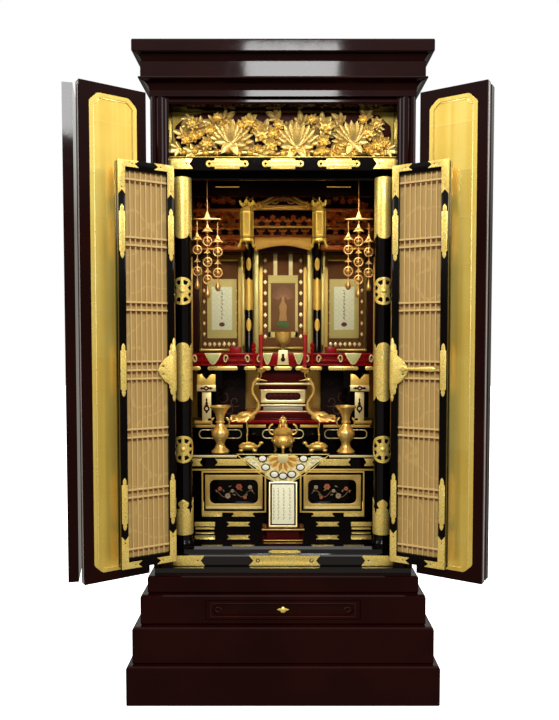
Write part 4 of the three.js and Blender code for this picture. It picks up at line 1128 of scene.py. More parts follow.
def strokes(x, low, high, wide, y, step=7.0):    # a row of shallow brush strokes
    parts = []
    z, i = high, 0
    mark = slab((-wide / 2, -0.35, -0.8), (wide / 2, 0.35, 0.8), 0.2, 1)
    while z > low:
        turn = (18, -35, 60, 5, -70, 30, -12)[i % 7]
        parts.append(copied(mark, x + (i % 3 - 1) * wide * 0.2, y, z, turn))
        z -= step * (0.55 if i % 2 else 1)
        i += 1
    bpy.data.objects.remove(mark)
    return parts


def scroll(name, x, low, high, half, mountLow, mountHigh, mountHalf):
    y = hangings["plane"]
    cloth = slab((x - half, y, low + 8), (x + half, y + 1.2, high - 4), 0.2, 1)
    ground = silk(name + "Ground", (0.075, 0.018, 0.006, 1), (0.24, 0.11, 0.03, 1), 62)
    cloth = finished(name + "_cloth", [cloth], "scroll_silk", ground, [name])
    knob = [(0, half + 9), (4, half + 9), (6.4, half + 5), (6.4, half + 2), (5, half)]
    ends = [(radius, -out) for radius, out in knob] + knob[::-1]
    rod = moved(turned(ends, sides=16), 0, 0, 0, 90, "Y")
    bar = slab((x - half, y - 1.5, high - 6), (x + half, y + 3.5, high), 1)
    finished(name + "_rods", [moved(rod, x, y + 3, low + 5), bar], "brass", richGold)
    buds = lozenges(x - half + 1, x + half - 1, low + 14, mountLow - 4, 15, 18)
    for sign in (-1, 1):
        edge = sorted((x + sign * (half - 1), x + sign * (mountHalf + 2)))
        buds += lozenges(edge[0], edge[1], mountLow, mountHigh, edge[1] - edge[0], 17)
    cream = finished(name + "_figures", [moved(cutPlate([b], 0.7, 0.2), 0, y, 0) for b in buds], "scroll_silk",
                     paleGold)
    return cloth, cream


def scrolls():
    green = silk("greenDamask", (0.52, 0.44, 0.14, 1), (0.70, 0.58, 0.22, 1), 80)
    paper = silk("agedPaper", (0.74, 0.75, 0.50, 1), (0.80, 0.80, 0.58, 1), 30)
    ink = lacquer("ink", (0.10, 0.03, 0.02, 1), (0.16, 0.05, 0.03, 1), 0.5)
    y = hangings["plane"]
    for sign, name in ((-1, "left_scroll"), (1, "right_scroll")):
        x = sign * hangings["out"]
        cloth, figures = scroll(name, sign * hangings["clothOut"], *hangings["side"])
        mount = moved(cutPlate([box(x, 980, 46, 92)], 0.9, 0.2), 0, y, 0)
        mount = finished(name + "_mount", [mount], "scroll_silk", green)
        page = moved(cutPlate([box(x, 981, 32, 67)], 0.8, 0.2), 0, y - 0.9, 0)
        page = finished(name + "_page", [page], "paper", paper)
        seal = moved(cutPlate([arc(x, 931, 9, 0, 345, 20, 0.75)], 0.6, 0.15), 0, y - 1.7, 0)
        marks = strokes(x, 945, 1036, 6, y - 1.9)
        marks = finished(name + "_ink", [seal] + marks, "paper", ink)
    name = "centre_scroll"
    cloth, figures = scroll(name, *hangings["centre"])
    mount = [moved(cutPlate([box(0, 1072, 46, 12)], 0.9, 0.2), 0, y, 0)]
    for sign in (-1, 1):
        mount.append(moved(cutPlate([box(sign * 42, 975, 4, 84)], 0.9, 0.2), 0, y, 0))
    mount.append(moved(cutPlate([box(0, 899, 46, 9)], 0.9, 0.2), 0, y, 0))
    mount = finished(name + "_mount", mount, "scroll_silk", green)
    bands = [moved(cutPlate([box(sign * 24, 1122, 6, 38)], 0.9, 0.2), 0, y, 0) for sign in (-1, 1)]
    bands = finished(name + "_ribbons", bands, "brocade", paleGold)
    picture = moved(cutPlate([box(0, 984, 38, 76)], 0.8, 0.2), 0, y - 0.4, 0)
    brown = lacquer("pictureGround", (0.13, 0.062, 0.022, 1), (0.19, 0.09, 0.034, 1), 0.5)
    picture = finished(name + "_picture", [picture], "paper", brown)
    rays = []
    for i in range(15):
        turn = -70 + i * 10
        reach = 46 - abs(turn) * 0.12
        ray = cutPlate([[(-0.5, 14), (0.5, 14), (0.2, reach), (-0.2, reach)]], 0.4, 0.1)
        rays.append(moved(ray, 0, y - 1.2, 1004, turn))
    robe = evenSides([(3, 34), (6, 26), (12, 14), (10, -8), (13, -34)])
    figure = moved(cutPlate([robe], 0.6, 0.15), 0, y - 1.2, 974)
    head = moved(cutPlate([arc(0, 0, 5, 0, 340, 12, 1.2)], 0.7, 0.2), 0, y - 1.3, 1012)
    pink = lacquer("rosePaint", (0.46, 0.20, 0.13, 1), (0.55, 0.28, 0.18, 1), 0.5)
    rays = finished(name + "_rays", rays, "paper", pink)
    ochre = lacquer("ochrePaint", (0.34, 0.16, 0.05, 1), (0.42, 0.24, 0.09, 1), 0.5)
    figure = finished(name + "_figure", [figure, head], "paper", ochre)
    seat = moved(cutPlate([evenSides([(16, 10), (20, -4), (11, -12)])], 0.6, 0.15), 0, y - 1.2, 932)
    seat = finished(name + "_seat", [seat], "paper",
                    lacquer("greenPaint", (0.05, 0.09, 0.03, 1), (0.09, 0.14, 0.05, 1), 0.5))


scrolls()
print("scrolls")


# lanterns and their chains
lanternDrop = {"foot": 1128, "ring": 1250, "hook": 1300}


def lantern():
    body = turned([(0, 1152), (17, 1152), (19, 1156), (17.5, 1160), (17.5, 1226), (19.5, 1230), (17, 1236),
                   (8, 1242), (4, 1250), (0, 1251)], 0, 0, 0, 6)
    feet = []
    hornOut = [(0, 1238), (5, 1243), (13, 1240), (20, 1244), (24, 1254), (19, 1258), (15, 1250), (9, 1251),
               (4, 1258), (0, 1252)]
    for i in range(6):
        turn = 30 + i * 60
        horn = cutPlate([hornOut], 2.4, 0.6)
        feet.append(moved(horn, 0, 0, 0, turn, "Z"))
        foot = [(14, 1154), (19, 1154), (22, 1142), (28, 1132), (26, 1129), (19, 1131), (16, 1140)]
        feet.append(moved(cutPlate([foot], 2.2, 0.6), 0, 0, 0, turn, "Z"))
        apron = evenSides([(9, 1153), (9, 1144), (6, 1148), (3, 1143), (0, 1149)])
        feet.append(moved(moved(cutPlate([apron], 1.6, 0.4), 0, -16, 0), 0, 0, 0, i * 60, "Z"))
        frame = [box(0, 1193, 8.6, 33), box(0, 1193, 6.4, 29)]
        feet.append(moved(moved(cutPlate(frame, 1.2, 0.3), 0, -15.4, 0), 0, 0, 0, i * 60, "Z"))
    feet.append(turned([(0, 1128), (1.4, 1128), (1.4, 1158), (0, 1158)], sides=8))
    return body, joined(*feet)


mesh = metalSheet("finePierced", (0.34, 0.235, 0.035, 1), (0.27, 0.17, 0.022, 1), 0.32, 0.8, 620)
lanternGold = metalSheet("lanternGold", (0.46, 0.31, 0.055, 1), (0.36, 0.22, 0.03, 1), 0.3, hammer=0.5)
for name in ("left_lantern", "right_lantern"):
    x, y, foot, top = middle(name)
    body, trim = lantern()
    lift = foot - lanternDrop["foot"]
    finished(name + "_case", [moved(body, x, y, lift)], "brass", mesh, [name])
    chain = slab((-1.2, -1.2, lanternDrop["ring"]), (1.2, 1.2, min(top, lanternDrop["hook"]) - lift), 0.3, 1)
    finished(name + "_trim", [moved(joined(trim, chain), x, y, lift)], "brass", lanternGold)


def pendant():    # pierced rings, wings and drops in three strings under a bar
    parts = []
    ring = cutPlate([arc(0, 0, 13, 0, 350, 28), arc(0, 0, 9.6, 0, 350, 24)], 3, 0.8)
    slit = cutPlate([[(-1.3, 11), (1.3, 11), (1.3, -11), (-1.3, -11)]], 2.4, 0.6)
    boss = turned([(0, 3), (4, 2), (6.5, 0), (4, -1), (0, -1)], sides=10)
    wing = evenSides([(0, 18), (6, 4), (17, -8), (5, -6), (0, -14)])
    wing = cutPlate([wing, arc(0, 0, 2.2, 0, 330, 8)], 2.4, 0.6)
    drop = turned([(0, 20), (2, 16), (3, 8), (6, 0), (7, -8), (5, -14), (0, -17)], sides=12)
    for x, rows in ((-27, (1118, 1062)), (0, (1140, 1086, 1040)), (27, (1112, 1058))):
        for z in rows:
            parts += [copied(ring, x, 0, z), copied(slit, x, -0.4, z)]
            for turn in (0, 60, 120):
                parts.append(copied(slit, x, 1.0, z, turn, "Y", (0.6, 0.6, 0.9)))
            parts.append(copied(boss, x, -1, z, 90, "X"))
        parts.append(copied(wing, x, 0, rows[0] + 32, 0, "Y", (0.9, 1, 0.9)))
        for above, below in zip(rows, rows[1:]):
            parts.append(copied(wing, x, 0, (above + below) / 2, 0, "Y", (0.6, 1, 0.55)))
        parts.append(copied(drop, x, 0, rows[-1] - 34, 0, "Y", (1, 1, 0.9)))
        parts.append(slab((x - 1, -1, rows[-1] - 20), (x + 1, 1, rows[0] + 82 - abs(x) * 0.2), 0.2, 1))
    for piece in (ring, slit, boss, wing, drop):
        bpy.data.objects.remove(piece)
    return parts


for name in ("left_pendant", "right_pendant"):
    x, y, foot, top = middle(name)
    crown = evenSides([(0, 1222), (8, 1201), (38, 1199), (36, 1196)])
    bar = [cutPlate([crown], 5, 1), slab((-1.2, -1.2, 1218), (1.2, 1.2, top), 0.3, 1)]
    made = moved(joined(*pendant(), *bar), x, y, 0)
    # painted shade: the strings darken towards their back, between near and far along Y
    gilt = gilding("pendantGold" + name[:1], (0.66, 0.34, 0.10, 1), (0.16, 0.03, 0.012, 1),
                   caseFront + 0.146, caseFront + 0.156, 0.3)
    finished(name + "_strings", [made], "brass", gilt, [name])
print("lanterns and pendants")


# ceiling: brass line, studs
def ceiling():
    studs = []
    for i in range(-6, 7):
        studs.append(moved(turned([(0, 4), (2.2, 3.4), (3.4, 1.6), (3.8, 0), (0, 0)], sides=10), i * 40, 197.5,
                           1281, 90, "X"))
    finished("ceiling_studs", studs, "brass", paleGold)
    lines = [slab((sign * 182, 194, 1291), (sign * 118, 196.5, 1294), 0.6) for sign in (-1, 1)]
    finished("ceiling_lines", lines, "brass", richGold)


ceiling()


# red railing of the upper shelf, with gold flaps, curls and low stands
rail = {"front": 336, "end": 291, "gap": 34, "foot": 806}


def railing():
    y, end, gap, foot = rail.values()
    bars = []
    for sign in (-1, 1):
        bars.append(slab((sign * end, y, 818), (sign * gap, y + 5, 824), 1))
        bars.append(slab((sign * end, y, foot), (sign * gap, y + 6, 810), 1))
        bars.append(slab((sign * end, y - 2, 836), (sign * gap, y + 6, 843), 1.5))
        for x in (40, 130, 178, 238, 286):
            bars.append(slab((sign * x - 2.5, y, foot), (sign * x + 2.5, y + 6, 843), 0.8))
        knob = [(0, foot), (5.5, foot), (5.5, 850), (7, 853), (4, 857), (7, 863), (6, 870), (0, 876)]
        bars.append(turned(knob, sign * 86, y + 3, 0, 16))
        bars.append(slab((sign * 158, y + 12, 807), (sign * 124, y + 40, 862), 2))
        bars.append(slab((sign * 162, y + 12, 800), (sign * 120, y + 40, 812), 2))
    bars.append(slab((-end, y + 6.2, foot + 0.2), (end, y + 8, 844), 0.6))
    finished("railing_bars", bars, "red_lacquer", finishes["red_lacquer"], ["red_railing"])
    flap = evenSides([(25, 843), (21, 835), (14, 822), (7, 812), (0, 809)])
    inner = evenSides([(19, 841), (15, 832), (9, 822), (0, 814)])
    spots = ((-205, 1.0), (-46, 0.62), (205, 1.0), (46, 0.62))
    for name, shape, lift, slotName, finish, thick in (("_flap_edges", flap, 2, "brass", paleGold, 1.6),
                                                       ("_flaps", inner, 3.8, "gold_leaf", leafGreen, 0.8)):
        shapes = [[(x * size + at, z) for x, z in shape] for at, size in spots]
        plates("railing" + name, shapes, y - lift, slotName, finish, thick)
    curls = []
    for sign in (-1, 1):
        for at, face in ((258, 1), (168, -1), (104, 1), (70, -1)):
            turns = [i * 0.55 for i in range(13)]
            path = [(sign * (at + face * 7 * cos(t) * (1 - t / 11)), y - 4, 826 + 13 * sin(t) * (1 - t / 12))
                    for t in turns]
            curls.append(tube(path, 2.2, 6))
    finished("railing_curls", curls, "brass", paleGold)
    rim = [(-13, 852), (13, 852), (17, 809), (-17, 809)]
    plates("shelf_plaque", [rim], y - 8, "brass", paleGold, 2.4)
    gourd = arc(0, 838, 4.2, -40, 220, 10) + arc(0, 825, 6.6, 130, 410, 14)
    plates("shelf_gourd", [gourd], y - 10.6, "brass", umber, 0.7)


railing()


def shelfEdges():
    shapes = bothSides([box(at, 799, half, 5.5, 3.5) for at, half in ((-254, 14), (-176, 44), (-96, 18),
                                                                      (-52, 16))])
    shapes.append(box(0, 799, 26, 5.5, 3.5))
    plates("upper_edge_brass", shapes, 330, "brass", brass)
    front = span("middle_shelf")[0].y
    bars = [box(at, 630, half, 4) for at, half in ((-196, 78), (-76, 26), (-272, 18))]
    plates("middle_edge_brass", bothSides(bars), front, "brass", richGold)
    low, high = span("altar_shelf")
    plates("altar_edge_brass", bothSides([box(-210, high.z - 4.5, 84, 3)]), low.y, "brass", paleGold)
    ovals = []
    for x, half in ((-184, 63), (0, 61), (184, 63)):
        ovals.append([round4(x, 606, half, 13.5, 12), round4(x, 606, half - 2.6, 11, 10)])
    plates("riser_ovals", ovals, 331, "brass", paleGold, 1.2)


shelfEdges()
print("railing and shelf edges")


def ball(x, y, z, a, b, c, rings=12):    # a rounded lump, as a start for cast figures
    bpy.ops.mesh.primitive_uv_sphere_add(segments=rings * 2, ring_count=rings, radius=1)
    made = bpy.context.object
    made.data.transform(Matrix.Translation((x, y, z)) @ Matrix.Diagonal((a, b, c, 1)))
    return made


def aligned(piece, node):    # moves a placed piece so that its middle is the node's
    low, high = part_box(node)
    points = [v.co for v in piece.data.vertices]
    shift = [(low[i] + high[i]) / 2 - (min(p[i] for p in points) + max(p[i] for p in points)) / 2
             for i in range(3)]
    piece.data.transform(Matrix.Translation(shift))
    return piece


# bracket posts beside the dais, and the dark pierced screens behind them
postOut = 226


def bracketPosts():
    head = evenSides([(0, 768), (14, 783), (27, 783), (27, 733)])
    plates("post_heads", [[(x + s * postOut, z - 2) for x, z in head] for s in (-1, 1)], 344.8, "brass",
           richGold, 1.6)
    plates("post_bands", [box(s * postOut, 740, 28, 9) for s in (-1, 1)], 343.0, "brass", paleGold, 1.4)
    cross = evenSides([(0, 8), (9, 2), (13, 4), (20, 0), (13, -4), (9, -2), (0, -8)])
    hole = [(4, 0), (0, 3), (-4, 0), (0, -3)]
    plates("post_crosses", [[[(x + s * postOut, z + 740) for x, z in cross],
                             [(x + s * postOut, z + 740) for x, z in hole]] for s in (-1, 1)], 341.5,
           "black_lacquer", umber, 0.6)
    body = [slab((s * postOut - 27, 345.5, 729), (s * postOut + 27, 380, 782), 1) for s in (-1, 1)]
    body += [slab((s * postOut - 14, 352, 637), (s * postOut + 14, 378, 730), 1) for s in (-1, 1)]
    finished("post_bodies", body, "black_lacquer", umber)
    plates("post_shafts", [box(s * postOut, 684, 13.4, 46) for s in (-1, 1)], 351.5, "brass", paleGold, 1.2)
    key = [(0, 712), (3, 705), (1.6, 700), (4.5, 695), (3, 690), (8, 688)] + arc(0, 679, 9, 60, -60, 8)
    key += [(3, 668), (0, 664)]
    shape = key + [(-x, z) for x, z in reversed(key[:-1])]
    hole = arc(0, 679, 4.4, 0, 340, 12)
    plates("post_keys", [[[(x + s * postOut, z) for x, z in shape], [(x + s * postOut, z) for x, z in hole]]
                         for s in (-1, 1)], 350.3, "black_lacquer", umber, 0.7)
    plates("post_feet", [box(s * 235, 640, 26, 4) for s in (-1, 1)], 345, "brass", richGold, 3)
    screens = [slab((s * 268, 468, 640), (s * 118, 474, 788), 1) for s in (-1, 1)]
    screenBlack = lacquer("screenBlack", (0.008, 0.004, 0.004, 1), (0.016, 0.008, 0.006, 1), 0.3)
    finished("pierced_screens", screens, "black_lacquer", screenBlack)
    curls = []
    for s in (-1, 1):
        for x, z, size, turn in ((165, 740, 22, 0), (190, 700, 20, 2), (150, 690, 18, 4), (172, 662, 20, 1),
                                 (205, 750, 14, 3), (140, 752, 12, 5), (215, 680, 13, 1)):
            curls.append(tube(spiral(s, x, 466.5, z, size, 8, turn=turn), 1.8, 6))
    oldBronze = lacquer("oldBronze", (0.05, 0.022, 0.014, 1), (0.12, 0.06, 0.04, 1), 0.3)
    finished("screen_tracery", curls, "gilded_carving", oldBronze)


bracketPosts()


def dais():
    back = span("dais")[1].y - 0.5
    red, dim, gold = [], [], []
    steps = (("red", 156, 636.3, 645, 348), ("dim", 146, 645, 650, 350), ("dim", 132, 650, 664, 356),
             ("red", 116, 664, 668, 353), ("gold", 74, 669, 671.5, 352), ("dim", 70, 671.5, 686, 358),
             ("gold", 78, 686, 691, 352), ("dim", 72, 691, 694, 354), ("dim", 66, 694, 736, 356),
             ("dim", 72, 736, 748, 354), ("gold", 92, 749, 755, 349), ("dim", 70, 755, 791, 352))
    for kind, half, low, high, front in steps:
        {"red": red, "dim": dim, "gold": gold}[kind].append(slab((-half, front, low), (half, back, high), 1))
    finished("dais_red", red, "red_lacquer", finishes["red_lacquer"], ["dais"])
    finished("dais_maroon", dim, "red_lacquer", deepRed)
    gold.append(moved(cutPlate([round4(0, 715, 66, 20, 3), round4(0, 715, 52, 11, 10)], 3, 0.8), 0, 356, 0))
    finished("dais_gold", gold, "brass", paleGold)
    row = []
    for i in range(6):
        row.append([(x - 40 + i * 16, z + 714) for x, z in arc(0, 0, 7.4, 0, 345, 14, 1.0)])
    plates("dais_beads", row, 355, "black_lacquer", umber, 3)
    silver = metalSheet("silverBand", (0.52, 0.47, 0.36, 1), (0.34, 0.29, 0.2, 1), 0.3)
    plates("dais_band", [box(0, 678.5, 58, 5.5)], 358, "brass", silver, 1.5)


dais()
print("bracket posts and dais")


# the cupboard under the altar shelf
def tailBar(x, z, half, tall):    # swallow-tailed at both ends
    return [(x - half, z + tall), (x + half, z + tall), (x + half - 7, z), (x + half, z - tall),
            (x - half, z - tall), (x - half + 7, z)]


panel = {"out": 134, "z": 467, "hole": 468}


def cupboard():
    at, z, hole = panel["out"], panel["z"], panel["hole"]
    y = span("lower_cupboard")[0].y - 0.2
    low = bothSides([tailBar(-236, 547.5, 15, 10), tailBar(-141, 547.5, 44, 9)]) + [tailBar(0, 547.5, 40, 9)]
    plates("fascia_brass", low, 190.6, "brass", chased, 1.4)
    line = bothSides([box(-129, 527, 129, 2.4)])
    plates("cupboard_line", line, 190.4, "brass", richGold, 1.6)
    shapes = [[box(s * at, z, 88, 57), box(s * at, z, 84, 53)] for s in (-1, 1)]
    plates("panel_outlines", shapes, y - 0.1, "brass", richGold, 1.2)
    frames = [[box(s * at, z, 78, 47), round4(s * at, hole, 66, 33, 15)] for s in (-1, 1)]
    oldGold = metalSheet("oldGold", (0.70, 0.48, 0.13, 1), (0.50, 0.30, 0.06, 1), 0.3, 0.3)
    plates("panel_frames", frames, y - 0.3, "brass", oldGold, 2.6)
    rails = [box(s * at, 424, 76, 3.2) for s in (-1, 1)]
    plates("panel_rails", rails, y - 2.6, "brass", paleGold, 1.6)
    corner = [(-222, 440), (-216, 440), (-216, 414), (-166, 414), (-166, 399), (-222, 399)]
    strips = bothSides([corner, tailBar(-109, 406, 32, 7), box(-214, 378, 28, 6), tailBar(-122, 378, 32, 6),
                        box(-214, 366, 26, 2.5)])
    plates("cupboard_strips", strips, 185.8, "brass", chased, 1.2)
    grounds = [round4(s * at, hole, 65, 32, 14) for s in (-1, 1)]
    plates("panel_grounds", grounds, y - 0.1, "black_lacquer", black, 0.5)
    rose, green, white = [], [], []
    for s in (-1, 1):
        for x, z, size, kind in ((120, 481, 9, "rose"), (151, 456, 8, "white"), (90, 480, 6, "white"),
                                 (172, 476, 6, "rose"), (104, 452, 5, "rose"), (138, 470, 5, "white")):
            for i in range(6):
                turn = radians(i * 60 + x)
                leaf = arc(s * x + size * 0.55 * cos(turn), z + size * 0.55 * sin(turn), size * 0.42, 0, 330, 8)
                (rose if kind == "rose" else white).append(leaf)
        for x, z, turn in ((110, 470, 30), (140, 484, -20), (160, 466, 60), (96, 462, -40), (128, 458, 15),
                           (182, 464, 100), (82, 466, 70)):
            a = radians(turn)
            tip = [(0, 0), (5, 2.2), (11, 0), (5, -2.2)]
            green.append([(s * (x + p * cos(a) - q * sin(a)), z + p * sin(a) + q * cos(a))
                          for p, q in (tip if s > 0 else tip[::-1])])
    for name, shapes, paint, deep, warm in (
            ("roses", rose, "coral", (0.34, 0.07, 0.03, 1), (0.45, 0.14, 0.06, 1)),
            ("buds", white, "bone", (0.30, 0.20, 0.12, 1), (0.44, 0.33, 0.2, 1)),
            ("leaves", green, "sage", (0.10, 0.08, 0.03, 1), (0.20, 0.15, 0.06, 1))):
        plates("painted_" + name, shapes, y - 0.6, "paper", lacquer(paint + "Paint", deep, warm, 0.4), 0.5)
    vines = []
    for s in (-1, 1):
        path = [(s * (78 + i * 6), y - 0.8, 462 + 9 * sin(i * 0.8)) for i in range(19)]
        vines.append(tube(path, 0.7, 4))
    vinePaint = lacquer("vinePaint", (0.14, 0.08, 0.05, 1), (0.22, 0.14, 0.09, 1), 0.4)
    finished("painted_vines", vines, "paper", vinePaint)


cupboard()
print("cupboard")


# altar cloth: a pointed hanging over the shelf's edge
def altarCloth():
    low, high = span("altar_cloth")
    bpy.ops.mesh.primitive_grid_add(x_subdivisions=64, y_subdivisions=24, size=2)
    made = bpy.context.object
    mid, drop = (low.y + high.y) / 2, high.z - low.z
    for vertex in made.data.vertices:
        u, v = vertex.co.x, (1 - vertex.co.y) / 2
        half = (high.x - 1) * (1 - v * 0.985)
        x = u * half
        free = max(0.0, min(1.0, (abs(x) - 62) / 30))
        vertex.co = (x, mid + (1.9 * sin(x * 0.16) * free + 0.5 * sin(v * 9)) * min(1, v * 3),
                     high.z - 0.6 - v * (drop - 1.4))
    modify(made, "SOLIDIFY", thickness=1.2, offset=0)
    bpy.ops.object.mode_set(mode="EDIT")
    bpy.ops.mesh.select_all(action="SELECT")
    bpy.ops.mesh.normals_make_consistent(inside=False)
    bpy.ops.object.mode_set(mode="OBJECT")
    ground = silk("clothBrocade", (0.80, 0.60, 0.20, 1), (0.92, 0.84, 0.48, 1), 34)
    cloth = finished("altar_cloth_silk", [made], "brocade", ground, ["altar_cloth"], sharp=60)
    orange = silk("orangeSilk", (0.66, 0.20, 0.03, 1), (0.80, 0.36, 0.07, 1), 120)
    gold = silk("goldSilk", (0.88, 0.62, 0.14, 1), (0.94, 0.76, 0.30, 1), 120)
    front = mid - 2.2
    petals, beads, rims, rays = [], [], [], []
    for i in range(13):
        turn = radians(180 + i * 15)
        tip = [(14, -3), (30, -5), (42, 0), (30, 5), (14, 3)]
        shape = [(p * cos(turn) - q * sin(turn), 563 + p * sin(turn) + q * cos(turn)) for p, q in tip]
        (petals if i % 2 else rays).append([(x, min(z, 570)) for x, z in shape])
    for turn in (178, 212, 245, 270, 295, 328, 362):
        a = radians(turn)
        x, z = 56 * cos(a), min(558, 562 + 52 * sin(a))
        rims.append(arc(x, z, 12.5, 0, 345, 16, 0.82))
        beads.append(arc(x, z, 9.5, 0, 345, 16, 0.78))
    parts = [plates("cloth_rays", rays, front, "brocade", gold, 0.6),
             plates("cloth_petals", petals, front, "brocade", orange, 0.6),
             plates("cloth_heart", [arc(0, 560, 15, 200, 340, 10, 1.0) + [(15, 569), (-15, 569)]], front - 0.7,
                    "brocade", paleGold, 0.5), plates("cloth_rims", rims, front, "brocade", umber, 0.6),
             plates("cloth_ovals", beads, front - 0.7, "brocade",
                    silk("whiteSilk", (0.86, 0.84, 0.70, 1), (0.92, 0.90, 0.80, 1), 90), 0.5)]
    edge = []
    for s in (-1, 1):
        edge.append(tube([(s * (high.x - 3), mid - 2.0, high.z - 3), (s * 66, mid - 1.6, 518),
                          (s * 4, mid - 1.2, low.z + 4)], 1.1, 6))
    edge = finished("cloth_edge", edge, "brocade", gold)
    wings = []
    for s in (-1, 1):
        for x, z, reach, turn in ((84, 562, 30, 0), (80, 550, 24, -8), (76, 540, 18, -14)):
            a = radians(turn)
            tip = [(0, -2), (reach * 0.6, -3.4), (reach, 0), (reach * 0.6, 3), (0, 2)]
            wings.append([(s * (x - 8 + p * cos(a)), z + q) for p, q in (tip if s > 0 else tip[::-1])])
    wings = plates("cloth_wings", wings, mid - 2.4, "brocade",
                   silk("mistSilk", (0.70, 0.72, 0.50, 1), (0.86, 0.86, 0.66, 1), 140), 0.5)
    parts + [edge, wings]


altarCloth()


# memorial book on its stand
def book():
    lean = toFrame @ Matrix.Translation((0, 91.5, 395.3)) @ Matrix.Rotation(radians(-14), 4, "X")
    block = slab((-36, -2.6, 1), (36, 4, 116), 0.8)
    cover = finished("book_block", [block], "paper", umber, ["memorial_book"], place=lean)
    aligned(cover, "memorial_book")
    page = slab((-29, -3.4, 8), (29, -2.2, 109), 0.4)
    creamPaper = silk("bookPaper", (0.66, 0.64, 0.44, 1), (0.72, 0.70, 0.52, 1), 60)
    finished("book_page", [page], "paper", creamPaper, place=lean)
    rim = cutPlate([box(0, 58.5, 36.6, 57.5), box(0, 58.5, 33.4, 54)], 1.6, 0.4)
    finished("book_rim", [moved(rim, 0, -2.6, 0)], "brass", paleGold, place=lean)
    marks = []
    for x in (-24, -12, 2, 18):
        marks += strokes(x, 20, 98, 4.2, -3.5, 5.5)
    fadedInk = lacquer("fadedInk", (0.22, 0.2, 0.10, 1), (0.34, 0.3, 0.16, 1), 0.5)
    finished("book_strokes", marks, "paper", fadedInk, place=lean)
    low = span("book_stand")[0]
    edges = [slab((-55, low.y - 0.6, 390), (55, low.y + 1.2, 393), 0.5),
             slab((-50, low.y - 0.6, low.z + 2), (50, low.y + 1.0, low.z + 4), 0.5)]
    finished("stand_edges", edges, "brass", richGold)


book()
dyed(frame["nodes"]["book_stand"], deepRed)
floorGloss = lacquer("floorGloss", (0.0020, 0.0007, 0.0006, 1), (0.0036, 0.0012, 0.0010, 1), 0.04, 1.0)
dyed(frame["nodes"]["case_floor"], floorGloss)
print("cloth and book")


# vessels and figures in cast brass
cast = metalSheet("castBrass", (0.96, 0.64, 0.17, 1), (0.60, 0.30, 0.05, 1), 0.2, hammer=0.8)


def vase():
    wall = [(0, 0), (24, 0), (25.5, 3), (23, 7), (17, 12), (12.5, 20), (12, 26), (15, 33), (21.5, 42), (25, 52),
            (23.5, 60), (17, 69), (11.5, 76), (10.4, 81), (13.4, 84), (13.4, 86), (10.6, 89), (10.8, 97),
            (14, 107), (20, 117), (26.5, 124), (29, 127), (29, 129.6), (27, 129.8), (24, 125), (17, 117),
            (11, 107), (8.6, 96), (8.8, 78), (15, 68), (20, 56), (18, 46), (0, 38)]
    parts = [turned(wall, sides=40)]
    for sign in (-1, 1):
        loop = [(sign * (12 + 13 * sin(t)), 0, 84 + 14 * cos(t)) for t in [0.35 + i * 0.25 for i in range(10)]]
        parts.append(tube(loop, 2.0, 8))
        parts.append(ball(sign * 22, 0, 92, 4, 3, 4, 6))
    return joined(*parts)


kit = vase()
for name in ("left_flower_vase", "right_flower_vase"):
    finished(name + "_cast", [copied(kit)], "brass", cast, [name], place=standing(name))
bpy.data.objects.remove(kit)


